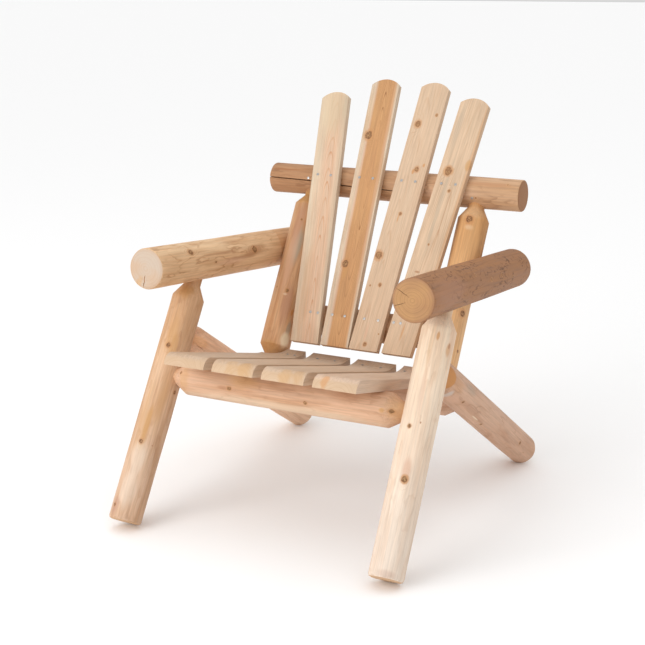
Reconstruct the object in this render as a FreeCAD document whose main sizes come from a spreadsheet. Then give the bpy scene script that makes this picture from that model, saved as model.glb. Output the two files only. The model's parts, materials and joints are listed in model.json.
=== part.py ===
import FreeCAD, Part
import math
import os
import Sketcher

# A cedar-log garden armchair: peeled round logs joined by pencil-point tenons, four contoured
# seat boards and four fanned back boards.  Lengths in mm, +Z up, the chair faces -Y and +X is
# on the right of a person looking at its front.  The origin is on the floor, under the middle
# of the whole chair.

V = FreeCAD.Vector
doc = FreeCAD.newDocument("log_armchair")

# ---------------------------------------------------------------- driving dimensions
DIMENSIONS = {
    # logs and their tenons
    "leg_radius": 38.0, "rear_leg_radius": 38.0, "arm_radius": 46.9, "post_radius": 37.9,
    "top_rail_radius": 38.6, "low_rail_radius": 36.8, "front_rail_radius": 39.0,
    "rear_rail_radius": 38.0, "tenon_radius": 19.5, "cone_angle": 30.0,
    "post_cone_angle": 36.0,
    "end_bevel": 3.0, "foot_bevel": 2.0,
    # front legs: lean back from the vertical, drawn together slightly at the top
    "leg_foot_x": 327.9, "leg_foot_y": -410.5, "leg_foot_z": 17.0, "leg_lean": 30.95,
    "leg_inward": 0.74, "leg_shaft": 542.0, "leg_tenon": 79.0,
    # rear legs: run down and back from the front legs to the floor
    "rear_leg_top_x": 321.3, "rear_leg_top_y": -122.2, "rear_leg_top_z": 374.2,
    "rear_leg_drop": 32.3, "rear_leg_outward": 0.37, "rear_leg_shaft": 644.8,
    "rear_leg_tenon": 12.0,
    # armrests: fall slightly and close in towards the back
    "arm_front_x": 328.4, "arm_front_y": -288.5, "arm_front_z": 582.6, "left_arm_drop": 5.2,
    "right_arm_drop": 5.5, "left_arm_inward": 2.1, "right_arm_inward": 1.8, "arm_length": 649.3,
    # back posts and the plane of the back
    "recline": 29.62, "post_recline": 30.5, "post_x": 224.8, "post_base_y": 76.9,
    "post_base_z": 260.0,
    "post_low_shoulder": 63.4, "post_high_shoulder": 441.5, "post_low_tenon": 57.0,
    "post_high_tenon": 67.0,
    # rails
    "top_rail_y": 338.3, "top_rail_z": 703.4, "top_rail_length": 682.0, "top_rail_shift": -4.0,
    "low_rail_along": 367.5, "low_rail_shaft": 318.0, "low_rail_tenon": 28.0,
    "front_rail_y": -230.2, "front_rail_z": 319.6, "front_rail_shaft": 508.0,
    "front_rail_tenon": 48.0,
    "rear_rail_y": 74.2, "rear_rail_z": 255.5, "rear_rail_shaft": 516.0, "rear_rail_tenon": 48.0,
    # back boards
    "back_board_width": 74.5, "back_board_thickness": 17.0, "back_board_below": 440.5,
    "back_board_crown": 14.5,
    # seat boards
    "seat_board_width": 102.5, "seat_board_pitch": 123.5, "seat_front_y": -364.1,
    "seat_front_z": 391.8, "seat_front_height": 28.2, "seat_top_slope": 14.9,
    "seat_dip_y": 63.7, "seat_rear_y": 104.4, "seat_rear_thickness": 20.0,
    "seat_nose_radius": 26.0, "seat_dip_radius": 150.0, "post_clearance": 1.8,
    # screws: the same for every board, and to lock the posts' upper tenons
    "screw_head_radius": 3.7, "screw_head_rim": 1.0, "screw_head_height": 3.2,
    "screw_radius": 2.2, "screw_length": 50.0, "screw_point": 7.0, "screw_proud": 0.7,
    "back_screw_spacing": 37.0, "back_screw_shift": -2.8, "upper_screw_drop": 3.4,
    "lower_screw_rise": 4.6, "screw_head_ease": 0.6, "seat_screw_spacing": 48.0,
    "outer_screw_middle": 159.0, "outer_screw_spacing": 20.0, "left_lock_rise": 16.0,
    "right_lock_rise": -12.0, "lock_screw_shift": -5.0,
    # the block that planes the feet flat
    "floor_span": 1200.0, "floor_depth": 100.0,
}
# Each back board: middle of its lower end, middle of its crown's shoulder, how far that shoulder
# stands above the top rail's centre line up the slope of the back, then the middle and the
# spacing of its two lower screws.  The outer pairs sit inwards, clear of the rail's points.
BACK_BOARDS = (
    (-121.5, -198.8, 209.5, -113.4, 21.0),
    (-39.5, -65.5, 250.0, -46.2, 34.0),
    (37.9, 71.7, 245.5, 42.6, 37.0),
    (125.1, 184.7, 208.0, 111.2, 18.0),
)
SEAT_BOARD_COUNT = 4
SIDES = (("left", -1.0), ("right", 1.0))

sheet = doc.addObject("Spreadsheet::Sheet", "Sizes")


def write_cell(alias, content):
    """Put one named value or formula on the next free row of the sheet."""
    row = len(sheet.getUsedCells()) // 2 + 1
    sheet.set("A%d" % row, alias)
    sheet.set("B%d" % row, content)
    sheet.setAlias("B%d" % row, alias)
    return alias


for dimension, value in DIMENSIONS.items():
    write_cell(dimension, str(value))
doc.recompute()


def derive(alias, formula):
    """Add a value worked out from the driving dimensions, and return its name."""
    write_cell(alias, "=" + formula)
    doc.recompute()
    return alias


def size(alias):
    """A named value from the sheet as a number."""
    return float(getattr(sheet, alias))


def radians(alias):
    """A named angle in radians."""
    return math.radians(size(alias))


# ---------------------------------------------------------------- sketch helpers
def add_sketch(body, name, role):
    """An empty sketch on the body's origin plane that has this role."""
    plane = next(f for f in body.Origin.OriginFeatures if f.Role == role)
    sketch = body.newObject("Sketcher::SketchObject", name)
    sketch.AttachmentSupport = [(plane, "")]
    sketch.MapMode = "FlatFace"
    return sketch


def drive(sketch, kind, index, alias):
    """Hold the start of one line at a named distance from the sketch's origin."""
    if alias is None:
        axis = -2 if kind == "DistanceX" else -1
        sketch.addConstraint(Sketcher.Constraint("PointOnObject", index, 1, axis))
        return
    constraint = Sketcher.Constraint(kind, -1, 1, index, 1, size(alias))
    number = sketch.addConstraint(constraint)
    sketch.setExpression("Constraints[%d]" % number, "Sizes." + alias)


def closed_outline(sketch, corners):
    """Draw a closed outline through corners named by their (x, y) values in the sheet."""
    places = [V(size(x) if x else 0.0, size(y) if y else 0.0, 0) for x, y in corners]
    count = len(corners)
    for index in range(count):
        line = Part.LineSegment(places[index], places[(index + 1) % count])
        sketch.addGeometry(line, False)
    for index in range(count):
        joint = Sketcher.Constraint("Coincident", index, 2, (index + 1) % count, 1)
        sketch.addConstraint(joint)
    for index, (x, y) in enumerate(corners):
        drive(sketch, "DistanceX", index, x)
        drive(sketch, "DistanceY", index, y)


# ---------------------------------------------------------------- logs
def lathe(name, steps):
    """Turn a log about its own Z axis through (radius, height) steps named in the sheet."""
    body = doc.addObject("PartDesign::Body", name)
    sketch = add_sketch(body, name + "_profile", "XZ_Plane")
    closed_outline(sketch, [(None, steps[0][1])] + steps + [(None, steps[-1][1])])
    turned = body.newObject("PartDesign::Revolution", name + "_turned")
    turned.Profile = sketch
    turned.ReferenceAxis = (sketch, ["V_Axis"])
    turned.Angle = 360.0
    return body


def cone(prefix, angle="cone_angle"):
    """The length of the pencil point between a log's full radius and its tenon."""
    return derive(prefix + "_cone",
                  "(%s_radius - tenon_radius) / tan(%s * 1deg)" % (prefix, angle))


def stations(prefix, *formulas):
    """Name successive heights along a log."""
    return [derive("%s_at_%d" % (prefix, n), f) for n, f in enumerate(formulas, start=1)]


def leg_steps(prefix, shaft):
    """A log with a bevelled foot at its start and one tenon at its end."""
    cone(prefix)
    face = derive(prefix + "_face", "%s_radius - foot_bevel" % prefix)
    cone_end, end = stations(prefix, "%s + %s_cone" % (shaft, prefix),
                             "%s + %s_cone + %s_tenon" % (shaft, prefix, prefix))
    full = prefix + "_radius"
    return [(face, None), (full, "foot_bevel"), (full, shaft),
            ("tenon_radius", cone_end), ("tenon_radius", end)]


def plain_steps(prefix, length):
    """A log sawn square and bevelled at both ends."""
    face = derive(prefix + "_face", "%s_radius - end_bevel" % prefix)
    top = derive(prefix + "_top", "%s - end_bevel" % length)
    full = prefix + "_radius"
    return [(face, None), (full, "end_bevel"), (full, top), (face, length)]


def rail_steps(prefix):
    """A log with a tenon at each end."""
    cone(prefix)
    names = {"p": prefix}
    heights = stations(prefix,
                       "%(p)s_tenon" % names,
                       "%(p)s_tenon + %(p)s_cone" % names,
                       "%(p)s_tenon + %(p)s_cone + %(p)s_shaft" % names,
                       "%(p)s_tenon + 2 * %(p)s_cone + %(p)s_shaft" % names,
                       "2 * %(p)s_tenon + 2 * %(p)s_cone + %(p)s_shaft" % names)
    full = prefix + "_radius"
    return [("tenon_radius", None), ("tenon_radius", heights[0]), (full, heights[1]),
            (full, heights[2]), ("tenon_radius", heights[3]), ("tenon_radius", heights[4])]


def post_steps():
    """A back post, measured from the lower end of its lower tenon."""
    cone("post", "post_cone_angle")
    heights = stations("post",
                       "post_low_tenon",
                       "post_low_tenon + post_cone",
                       "post_low_tenon + post_cone + post_high_shoulder - post_low_shoulder",
                       "post_low_tenon + 2 * post_cone + post_high_shoulder - post_low_shoulder",
                       "post_low_tenon + 2 * post_cone + post_high_shoulder"
                       " - post_low_shoulder + post_high_tenon")
    full = "post_radius"
    return [("tenon_radius", None), ("tenon_radius", heights[0]), (full, heights[1]),
            (full, heights[2]), ("tenon_radius", heights[3]), ("tenon_radius", heights[4])]


def point_along(start, direction, distance):
    """The point this far along a direction."""
    return start + direction * distance


def aim(body, start, direction):
    """Stand a turned log on a point with its axis along a direction."""
    body.Placement = FreeCAD.Placement(start, FreeCAD.Rotation(V(0, 0, 1), direction))


LEG_STEPS = leg_steps("leg", "leg_shaft")
REAR_LEG_STEPS = leg_steps("rear_leg", "rear_leg_shaft")
ARM_STEPS = plain_steps("arm", "arm_length")
POST_STEPS = post_steps()
TOP_RAIL_STEPS = plain_steps("top_rail", "top_rail_length")
LOW_RAIL_STEPS = rail_steps("low_rail")
FRONT_RAIL_STEPS = rail_steps("front_rail")
REAR_RAIL_STEPS = rail_steps("rear_rail")

# Directions in the chair: up the slope of the back, square out from its front, and up a post.
recline = radians("recline")
UP_BACK = V(0, math.sin(recline), math.cos(recline))
OUT_OF_BACK = V(0, -math.cos(recline), math.sin(recline))
post_recline = radians("post_recline")
UP_POST = V(0, math.sin(post_recline), math.cos(post_recline))
TOP_RAIL_AXIS = V(0, size("top_rail_y"), size("top_rail_z"))
BACK_PLANE = TOP_RAIL_AXIS + OUT_OF_BACK * size("top_rail_radius")


def leg_direction(side):
    """Up a front leg."""
    lean = radians("leg_lean")
    inward = radians("leg_inward")
    return V(-side * math.sin(inward), math.sin(lean), math.cos(lean)).normalize()


def rear_leg_direction(side):
    """Down a rear leg, from the front leg to the floor."""
    drop = radians("rear_leg_drop")
    return V(side * math.sin(radians("rear_leg_outward")), math.cos(drop), -math.sin(drop)).normalize()


def arm_direction(name, side):
    """Back along an armrest."""
    drop, inward = radians(name + "_arm_drop"), radians(name + "_arm_inward")
    return V(-side * math.sin(inward), math.cos(drop), -math.sin(drop)).normalize()


blanks = {}
for name, side in SIDES:
    leg = lathe(name + "_front_leg_log", LEG_STEPS)
    foot = V(side * size("leg_foot_x"), size("leg_foot_y"), size("leg_foot_z"))
    aim(leg, foot, leg_direction(side))
    blanks[name + "_front_leg"] = leg

    rear = lathe(name + "_rear_leg_log", REAR_LEG_STEPS)
    head = V(side * size("rear_leg_top_x"), size("rear_leg_top_y"), size("rear_leg_top_z"))
    down = rear_leg_direction(side)
    aim(rear, point_along(head, down, size("rear_leg_shaft")), down * -1.0)
    blanks[name + "_rear_leg"] = rear

    arm = lathe(name + "_armrest_log", ARM_STEPS)
    aim(arm, V(side * size("arm_front_x"), size("arm_front_y"), size("arm_front_z")),
        arm_direction(name, side))
    blanks[name + "_armrest"] = arm

    post = lathe(name + "_back_post_log", POST_STEPS)
    base = V(side * size("post_x"), size("post_base_y"), size("post_base_z"))
    low_end = size("post_low_shoulder") - size("post_cone") - size("post_low_tenon")
    aim(post, point_along(base, UP_POST, low_end), UP_POST)
    blanks[name + "_back_post"] = post


def lay_across(body, prefix, middle):
    """Lay a rail across the chair with its middle at a point."""
    half = size(prefix + "_at_5") / 2.0
    aim(body, middle - V(half, 0, 0), V(1, 0, 0))


upper = lathe("upper_back_rail_log", TOP_RAIL_STEPS)
aim(upper, TOP_RAIL_AXIS + V(size("top_rail_shift") - size("top_rail_length") / 2.0, 0, 0), V(1, 0, 0))
blanks["upper_back_rail"] = upper

lower = lathe("lower_back_rail_log", LOW_RAIL_STEPS)
lower_axis = (BACK_PLANE - OUT_OF_BACK * size("low_rail_radius")
              - UP_BACK * size("low_rail_along"))
lay_across(lower, "low_rail", lower_axis)
blanks["lower_back_rail"] = lower

front = lathe("front_seat_rail_log", FRONT_RAIL_STEPS)
lay_across(front, "front_rail", V(0, size("front_rail_y"), size("front_rail_z")))
blanks["front_seat_rail"] = front

rear = lathe("rear_seat_rail_log", REAR_RAIL_STEPS)
lay_across(rear, "rear_rail", V(0, size("rear_rail_y"), size("rear_rail_z")))
blanks["rear_seat_rail"] = rear

# ---------------------------------------------------------------- back boards
derive("board_half", "back_board_width / 2")
derive("board_left", "-back_board_width / 2")


def back_board(number, low_x, high_x, shoulder):
    """One back board: parallel sides, a level lower end and a crowned top."""
    name = "back_slat_%d" % number
    rise = size("back_board_below") + shoulder
    tilt = math.atan2(high_x - low_x, rise)
    length = derive("board_%d_length" % number, "%r / cos(%r * 1deg)" % (rise, math.degrees(tilt)))
    drop = math.tan(tilt)
    left_low = derive("board_%d_left_low" % number, "-board_half * %r" % drop)
    right_low = derive("board_%d_right_low" % number, "board_half * %r" % drop)
    crown = derive("board_%d_crown" % number, "%s + back_board_crown" % length)
    body = doc.addObject("PartDesign::Body", name + "_board")
    sketch = add_sketch(body, name + "_outline", "XY_Plane")
    half = size("board_half")
    corner = [V(-half, size(left_low), 0), V(half, size(right_low), 0),
              V(half, size(length), 0), V(-half, size(length), 0)]
    top = V(0, size(crown), 0)
    sketch.addGeometry(Part.LineSegment(corner[0], corner[1]), False)
    sketch.addGeometry(Part.LineSegment(corner[1], corner[2]), False)
    sketch.addGeometry(Part.Arc(corner[2], top, corner[3]), False)
    sketch.addGeometry(Part.LineSegment(corner[3], corner[0]), False)
    sketch.addConstraint(Sketcher.Constraint("Coincident", 0, 2, 1, 1))
    sketch.addConstraint(Sketcher.Constraint("Coincident", 1, 2, 2, 1))
    sketch.addConstraint(Sketcher.Constraint("Coincident", 2, 2, 3, 1))
    sketch.addConstraint(Sketcher.Constraint("Coincident", 3, 2, 0, 1))
    drive(sketch, "DistanceX", 0, "board_left")
    drive(sketch, "DistanceY", 0, left_low)
    drive(sketch, "DistanceX", 1, "board_half")
    drive(sketch, "DistanceY", 1, right_low)
    drive(sketch, "DistanceX", 3, "board_left")
    drive(sketch, "DistanceY", 3, length)
    drive(sketch, "DistanceX", 2, "board_half")
    drive(sketch, "DistanceY", 2, length)
    radius = derive("board_%d_crown_radius" % number,
                    "(board_half * board_half + back_board_crown * back_board_crown)"
                    " / (2 * back_board_crown)")
    number_of = sketch.addConstraint(Sketcher.Constraint("Radius", 2, size(radius)))
    sketch.setExpression("Constraints[%d]" % number_of, "Sizes." + radius)
    pad = body.newObject("PartDesign::Pad", name + "_pad")
    pad.Profile = sketch
    pad.setExpression("Length", "Sizes.back_board_thickness")
    lean = FreeCAD.Rotation(OUT_OF_BACK, -math.degrees(tilt))
    lie = FreeCAD.Rotation(V(1, 0, 0), UP_BACK, OUT_OF_BACK, "ZXY")
    start = BACK_PLANE + V(low_x, 0, 0) - UP_BACK * size("back_board_below")
    body.Placement = FreeCAD.Placement(start, lean.multiply(lie))
    return name, body


for number, (low_x, high_x, shoulder, _, _) in enumerate(BACK_BOARDS, start=1):
    name, body = back_board(number, low_x, high_x, shoulder)
    blanks[name] = body

# ---------------------------------------------------------------- seat boards
derive("seat_front_top_y", "seat_front_y + seat_front_height * sin(seat_top_slope * 1deg)")
derive("seat_front_top_z", "seat_front_z + seat_front_height * cos(seat_top_slope * 1deg)")
derive("seat_dip_z", "seat_front_top_z - (seat_dip_y - seat_front_top_y) * tan(seat_top_slope * 1deg)")
derive("seat_rear_low_z", "rear_rail_z + rear_rail_radius")
derive("seat_rear_top_z", "seat_rear_low_z + seat_rear_thickness")
derive("rail_below_front", "seat_front_z - front_rail_z")
derive("rail_behind_front", "front_rail_y - seat_front_y")
derive("rail_reach", "sqrt(rail_below_front * rail_below_front + rail_behind_front * rail_behind_front)")
# The boards lie on the front rail, so their undersides touch its curve.
derive("seat_under_slope", "(atan(rail_below_front / rail_behind_front)"
       " - asin(front_rail_radius / rail_reach)) / 1deg")
derive("seat_knee_y", "seat_front_y + (seat_front_z - seat_rear_low_z) / tan(seat_under_slope * 1deg)")

SEAT_CORNERS = (
    ("seat_front_y", "seat_front_z"),
    ("seat_knee_y", "seat_rear_low_z"),
    ("seat_rear_y", "seat_rear_low_z"),
    ("seat_rear_y", "seat_rear_top_z"),
    ("seat_dip_y", "seat_dip_z"),
    ("seat_front_top_y", "seat_front_top_z"),
)


def edge_along_x(shape, y_alias, z_alias):
    """The name of the edge that runs across the board through this corner of its profile."""
    for number, edge in enumerate(shape.Edges, start=1):
        ends = [v.Point for v in edge.Vertexes]
        if all(abs(p.y - size(y_alias)) < 0.01 and abs(p.z - size(z_alias)) < 0.01 for p in ends):
            return "Edge%d" % number
    raise ValueError("no edge at %s, %s" % (y_alias, z_alias))


def round_edges(body, name, source, corners, radius):
    """Round the board's profile at these corners."""
    fillet = body.newObject("PartDesign::Fillet", name)
    fillet.Base = (source, [edge_along_x(source.Shape, y, z) for y, z in corners])
    fillet.setExpression("Radius", "Sizes." + radius)
    doc.recompute()
    return fillet


def seat_board(number, middle):
    """One seat board: rounded nose, straight slope, and a dip that rises to its rear end."""
    name = "seat_slat_%d" % number
    body = doc.addObject("PartDesign::Body", name + "_board")
    sketch = add_sketch(body, name + "_profile", "YZ_Plane")
    closed_outline(sketch, list(SEAT_CORNERS))
    pad = body.newObject("PartDesign::Pad", name + "_pad")
    pad.Profile = sketch
    pad.setExpression("Length", "Sizes.seat_board_width")
    doc.recompute()
    nose = round_edges(body, name + "_nose", pad, [SEAT_CORNERS[5]], "seat_nose_radius")
    round_edges(body, name + "_dip", nose, [SEAT_CORNERS[1], SEAT_CORNERS[4]], "seat_dip_radius")
    body.Placement.Base = V(middle - size("seat_board_width") / 2.0, 0, 0)
    return name, body


seat_middles = [(n - (SEAT_BOARD_COUNT - 1) / 2.0) * size("seat_board_pitch")
                for n in range(SEAT_BOARD_COUNT)]
for number, middle in enumerate(seat_middles, start=1):
    name, body = seat_board(number, middle)
    blanks[name] = body

# ---------------------------------------------------------------- screws
derive("screw_head_face", "screw_head_radius - screw_head_ease")
derive("screw_taper_start", "screw_length - screw_point")
derive("screw_tip", "screw_radius / 4")
derive("screw_rim_start", "screw_head_rim - screw_head_ease")
SCREW_STEPS = [("screw_head_face", None), ("screw_head_radius", "screw_rim_start"),
               ("screw_head_radius", "screw_head_rim"), ("screw_radius", "screw_head_height"),
               ("screw_radius", "screw_taper_start"), ("screw_tip", "screw_length")]
screw = lathe("screw_master", SCREW_STEPS)
doc.recompute()


def screw_at(place, inward):
    """A copy of the screw with its head on a surface point, driven in along a direction."""
    copy = screw.Shape.copy()
    start = place - inward * size("screw_proud")
    copy.Placement = FreeCAD.Placement(start, FreeCAD.Rotation(V(0, 0, 1), inward))
    return copy


def screw_group(name, screws):
    """One node that holds all the screws of one kind as separate solids."""
    group = doc.addObject("Part::Feature", name)
    group.Shape = Part.makeCompound(screws)
    return group


board_face = BACK_PLANE + OUT_OF_BACK * size("back_board_thickness")
into_back = OUT_OF_BACK * -1.0
back_screws = []
for low_x, high_x, shoulder, low_middle, low_spacing in BACK_BOARDS:
    share = size("back_board_below") / (size("back_board_below") + shoulder)
    middle = low_x + (high_x - low_x) * share + size("back_screw_shift")
    rows = ((middle, size("back_screw_spacing"), -size("upper_screw_drop")),
            (low_middle, low_spacing, size("lower_screw_rise") - size("low_rail_along")))
    for row_middle, spacing, along in rows:
        for side in (-0.5, 0.5):
            place = board_face + V(row_middle + side * spacing, 0, 0) + UP_BACK * along
            back_screws.append(screw_at(place, into_back))

seat_screws = []
for middle in seat_middles:
    outer = abs(middle) > size("seat_board_pitch")
    row_middle = math.copysign(size("outer_screw_middle"), middle) if outer else middle
    spacing = size("outer_screw_spacing") if outer else size("seat_screw_spacing")
    for side in (-0.5, 0.5):
        over_rail = V(row_middle + side * spacing, size("rear_rail_y"), size("seat_rear_top_z"))
        seat_screws.append((over_rail, V(0, 0, -1)))


def on_board(place, board):
    """Drop a point straight down onto a seat board's top surface."""
    line = Part.makeLine(V(place.x, place.y, 0), V(place.x, place.y, size("arm_front_z")))
    hits = [v.Point.z for v in board.Shape.common(line).Vertexes]
    return V(place.x, place.y, max(hits))


doc.recompute()
seated = []
for index, (place, inward) in enumerate(seat_screws):
    board = blanks["seat_slat_%d" % (index // 2 + 1)]
    seated.append(screw_at(on_board(place, board), inward))

locks = []
for name, side in SIDES:
    rise = radians(name + "_lock_rise")
    into_rail = V(0, math.cos(rise), -math.sin(rise))
    axis = V(side * size("post_x") + size("lock_screw_shift"), size("top_rail_y"), size("top_rail_z"))
    locks.append(screw_at(axis - into_rail * size("top_rail_radius"), into_rail))

groups = {
    "back_slat_screws": screw_group("back_slat_screws", back_screws),
    "seat_slat_screws": screw_group("seat_slat_screws", seated),
    "rail_lock_screws": screw_group("rail_lock_screws", locks),
}

# ---------------------------------------------------------------- mortises and notches
derive("post_notch_radius", "post_radius + post_clearance")
derive("post_notch_length", "post_at_5")
for name, side in SIDES:
    notch = doc.addObject("Part::Cylinder", name + "_post_clearance")
    notch.setExpression("Radius", "Sizes.post_notch_radius")
    notch.setExpression("Height", "Sizes.post_notch_length")
    notch.Placement = blanks[name + "_back_post"].Placement
    blanks[name + "_post_clearance"] = notch
floor = doc.addObject("Part::Box", "floor")
floor.setExpression("Length", "Sizes.floor_span")
floor.setExpression("Width", "Sizes.floor_span")
floor.setExpression("Height", "Sizes.floor_depth")
floor.Placement.Base = V(-size("floor_span") / 2, -size("floor_span") / 2, -size("floor_depth"))
blanks["floor"] = floor
doc.recompute()

# Which pieces each piece is cut to receive.  The feet are planed flat where they meet the floor.
RECEIVES = {
    "upper_back_rail": ["left_back_post", "right_back_post", "back_slat_screws", "rail_lock_screws"],
    "lower_back_rail": ["back_slat_screws"],
    "front_seat_rail": [],
    "rear_seat_rail": ["left_back_post", "right_back_post", "seat_slat_screws"],
}
for name, _ in SIDES:
    RECEIVES[name + "_front_leg"] = [name + "_rear_leg", "front_seat_rail", "floor"]
    RECEIVES[name + "_rear_leg"] = ["rear_seat_rail", "floor"]
    RECEIVES[name + "_armrest"] = [name + "_front_leg", name + "_back_post"]
    RECEIVES[name + "_back_post"] = ["lower_back_rail", "rail_lock_screws"]
for number in range(1, len(BACK_BOARDS) + 1):
    RECEIVES["back_slat_%d" % number] = ["back_slat_screws"]
for number in range(1, SEAT_BOARD_COUNT + 1):
    RECEIVES["seat_slat_%d" % number] = ["seat_slat_screws"]
RECEIVES["seat_slat_1"].append("left_post_clearance")
RECEIVES["seat_slat_%d" % SEAT_BOARD_COUNT].append("right_post_clearance")


def cut_to_receive(name, tools):
    """The finished piece: its blank, cut by every piece that enters it."""
    source = blanks[name]
    for number, tool_name in enumerate(tools, start=1):
        cut = doc.addObject("Part::Cut", "%s_cut_%d" % (name, number))
        cut.Base = source
        cut.Tool = groups[tool_name] if tool_name in groups else blanks[tool_name]
        source = cut
    source.Label = name
    return source


finished = {name: cut_to_receive(name, tools) for name, tools in RECEIVES.items()}
finished.update(groups)
doc.recompute()

# ---------------------------------------------------------------- check and export
for item in doc.Objects:
    if "Invalid" in item.State or "Error" in item.State:
        raise RuntimeError("%s did not build: %s" % (item.Name, item.State))
os.makedirs("parts", exist_ok=True)
for name, item in sorted(finished.items()):
    shape = item.Shape
    if shape.isNull() or not shape.isValid():
        raise RuntimeError("%s has no sound solid" % name)
    expected = len(shape.Solids) if name in groups else 1
    if len(shape.Solids) != expected or expected < 1:
        raise RuntimeError("%s has %d solids" % (name, len(shape.Solids)))
    shape.exportStep("parts/%s.step" % name)
whole = Part.makeCompound([item.Shape for item in finished.values()]).BoundBox
print("%d pieces, box %.1f %.1f %.1f to %.1f %.1f %.1f" % (
    len(finished), whole.XMin, whole.YMin, whole.ZMin, whole.XMax, whole.YMax, whole.ZMax))
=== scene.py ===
import json
import logging
import math
from collections.abc import Callable, Iterator
from contextlib import contextmanager
from dataclasses import dataclass
from enum import Enum
from typing import ClassVar

import bmesh
import bpy
import numpy as np
from mathutils import Matrix, Vector

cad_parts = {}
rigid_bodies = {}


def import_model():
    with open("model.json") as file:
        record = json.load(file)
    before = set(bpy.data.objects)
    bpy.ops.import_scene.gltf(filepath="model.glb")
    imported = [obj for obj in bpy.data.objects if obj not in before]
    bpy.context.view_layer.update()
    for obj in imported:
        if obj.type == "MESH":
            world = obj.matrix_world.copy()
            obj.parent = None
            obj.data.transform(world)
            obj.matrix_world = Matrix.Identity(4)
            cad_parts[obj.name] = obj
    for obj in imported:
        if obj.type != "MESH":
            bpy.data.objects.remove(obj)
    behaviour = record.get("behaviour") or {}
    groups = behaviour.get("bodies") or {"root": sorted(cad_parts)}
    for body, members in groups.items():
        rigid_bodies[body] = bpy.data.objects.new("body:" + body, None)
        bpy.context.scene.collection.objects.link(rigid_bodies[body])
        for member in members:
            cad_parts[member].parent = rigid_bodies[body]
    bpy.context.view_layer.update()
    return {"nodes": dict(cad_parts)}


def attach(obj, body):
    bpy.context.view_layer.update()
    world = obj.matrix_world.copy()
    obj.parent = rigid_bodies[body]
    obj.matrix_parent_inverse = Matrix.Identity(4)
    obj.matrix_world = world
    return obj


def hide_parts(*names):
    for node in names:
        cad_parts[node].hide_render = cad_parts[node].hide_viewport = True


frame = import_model()

log = logging.getLogger("log_armchair")

# A garden armchair of peeled cedar logs, in metres: +Z is up, the chair faces -Y and +X is on
# the right of a person looking at its front.  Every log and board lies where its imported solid
# lies; the sizes below only say how the wood is worked, worn and coloured.

BODY = "root"
UP = Vector((0.0, 0.0, 1.0))
FORWARD_SIDE = Vector((0.2, 0.5, 1.0))
SEAT_SIDE = Vector((0.0, -1.0, 1.0))
SHAFT_SHARE = 0.985     # of a log's greatest radius, past which a corner belongs to its shaft
REFITS = 8              # times that a log's axis is fitted again to its shaft's corners
SQUARE_ON = 0.9         # how far a face's normal must agree with a direction to look that way
WELD_GAP = 0.00002      # corners nearer than this are one
FLOOR_SLACK = 0.00005   # how far below the floor a foot may hang before it is planed

Colour = tuple[float, float, float]
Scale = tuple[float, float, float]
WHITE: Colour = (1.0, 1.0, 1.0)
ACROSS = (1.0, 1.0, 0.0)        # keeps what of a place lies across the grain
SEED_STEP = (0.37, 0.71, 1.93)  # how far each unit of a seed shifts the patterns, in metres
END_GRAIN = (0.55, 0.9)         # how squarely a face cuts the grain: a slant's limit, an end's
LATE_WOOD = (0.93, 0.95)        # where in a year its dark line is full, and where it breaks off
KNOT_BULGE = (2.6, 6.0)         # how far the rings bend round a knot across and along, in radii
KNOT_RINGS = 3.4                # how many rings' width they bend there
KNOT_OVAL = (1.12, 1.3)         # a knot's half sizes across and along, in radii
KNOT_SWELL = 2.6                # how far round a knot the wood stands proud, in radii
SAPWOOD_START = 0.80            # where the darker rim of a sawn end begins, in radii
LEAST_TENON = 0.012             # an end whose shaft stops nearer than this is sawn square
EASE_STEP = 0.3                 # how much of an eased edge its first facet takes
HALF_DIAGONAL = 0.7071          # of a square, in sides


# ---------------------------------------------------------------- editing helpers
def choose(piece: bpy.types.Object) -> None:
    """Make one piece the only selected and active one.

    Args:
        piece: the object that the next operators act on.
    """
    for other in bpy.context.view_layer.objects:
        other.select_set(False)
    piece.select_set(True)
    bpy.context.view_layer.objects.active = piece


@contextmanager
def editing(piece: bpy.types.Object, mode: str = "FACE") -> Iterator[None]:
    """Open a piece in edit mode with nothing selected, and close it afterwards.

    Args:
        piece: the object to edit.
        mode: what is selected, VERT, EDGE or FACE.
    """
    choose(piece)
    bpy.ops.object.mode_set(mode="EDIT")
    bpy.ops.mesh.select_mode(type=mode)
    bpy.ops.mesh.select_all(action="DESELECT")
    yield
    bpy.ops.object.mode_set(mode="OBJECT")


def pick_faces(piece: bpy.types.Object, wanted: Callable[[Vector, Vector], bool]) -> None:
    """Select the faces of a piece in edit mode by place.

    Args:
        piece: the object in edit mode.
        wanted: says yes or no to a face's middle and outward normal.
    """
    mesh = bmesh.from_edit_mesh(piece.data)
    mesh.normal_update()
    for face in mesh.faces:
        face.select_set(wanted(face.calc_center_median(), face.normal))
    mesh.select_flush_mode()
    bmesh.update_edit_mesh(piece.data)


def pick_edges(piece: bpy.types.Object, wanted: Callable[[Vector, Vector], bool]) -> None:
    """Select the edges of a piece in edit mode by place.

    Args:
        piece: the object in edit mode.
        wanted: says yes or no to an edge's two ends.
    """
    mesh = bmesh.from_edit_mesh(piece.data)
    for edge in mesh.edges:
        edge.select_set(wanted(edge.verts[0].co, edge.verts[1].co))
    mesh.select_flush_mode()
    bmesh.update_edit_mesh(piece.data)


def apply_modifiers(piece: bpy.types.Object) -> None:
    """Apply every modifier of a piece in order.

    Args:
        piece: the object with the modifiers.
    """
    choose(piece)
    for modifier in list(piece.modifiers):
        bpy.ops.object.modifier_apply(modifier=modifier.name)


def settle(piece: bpy.types.Object, place: Matrix) -> None:
    """Put a piece made at the origin in its place, and keep the place in its mesh.

    Args:
        piece: the piece, made in its own frame.
        place: that frame in the chair.
    """
    choose(piece)
    piece.matrix_world = place
    bpy.ops.object.transform_apply(location=True, rotation=True, scale=True)


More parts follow.
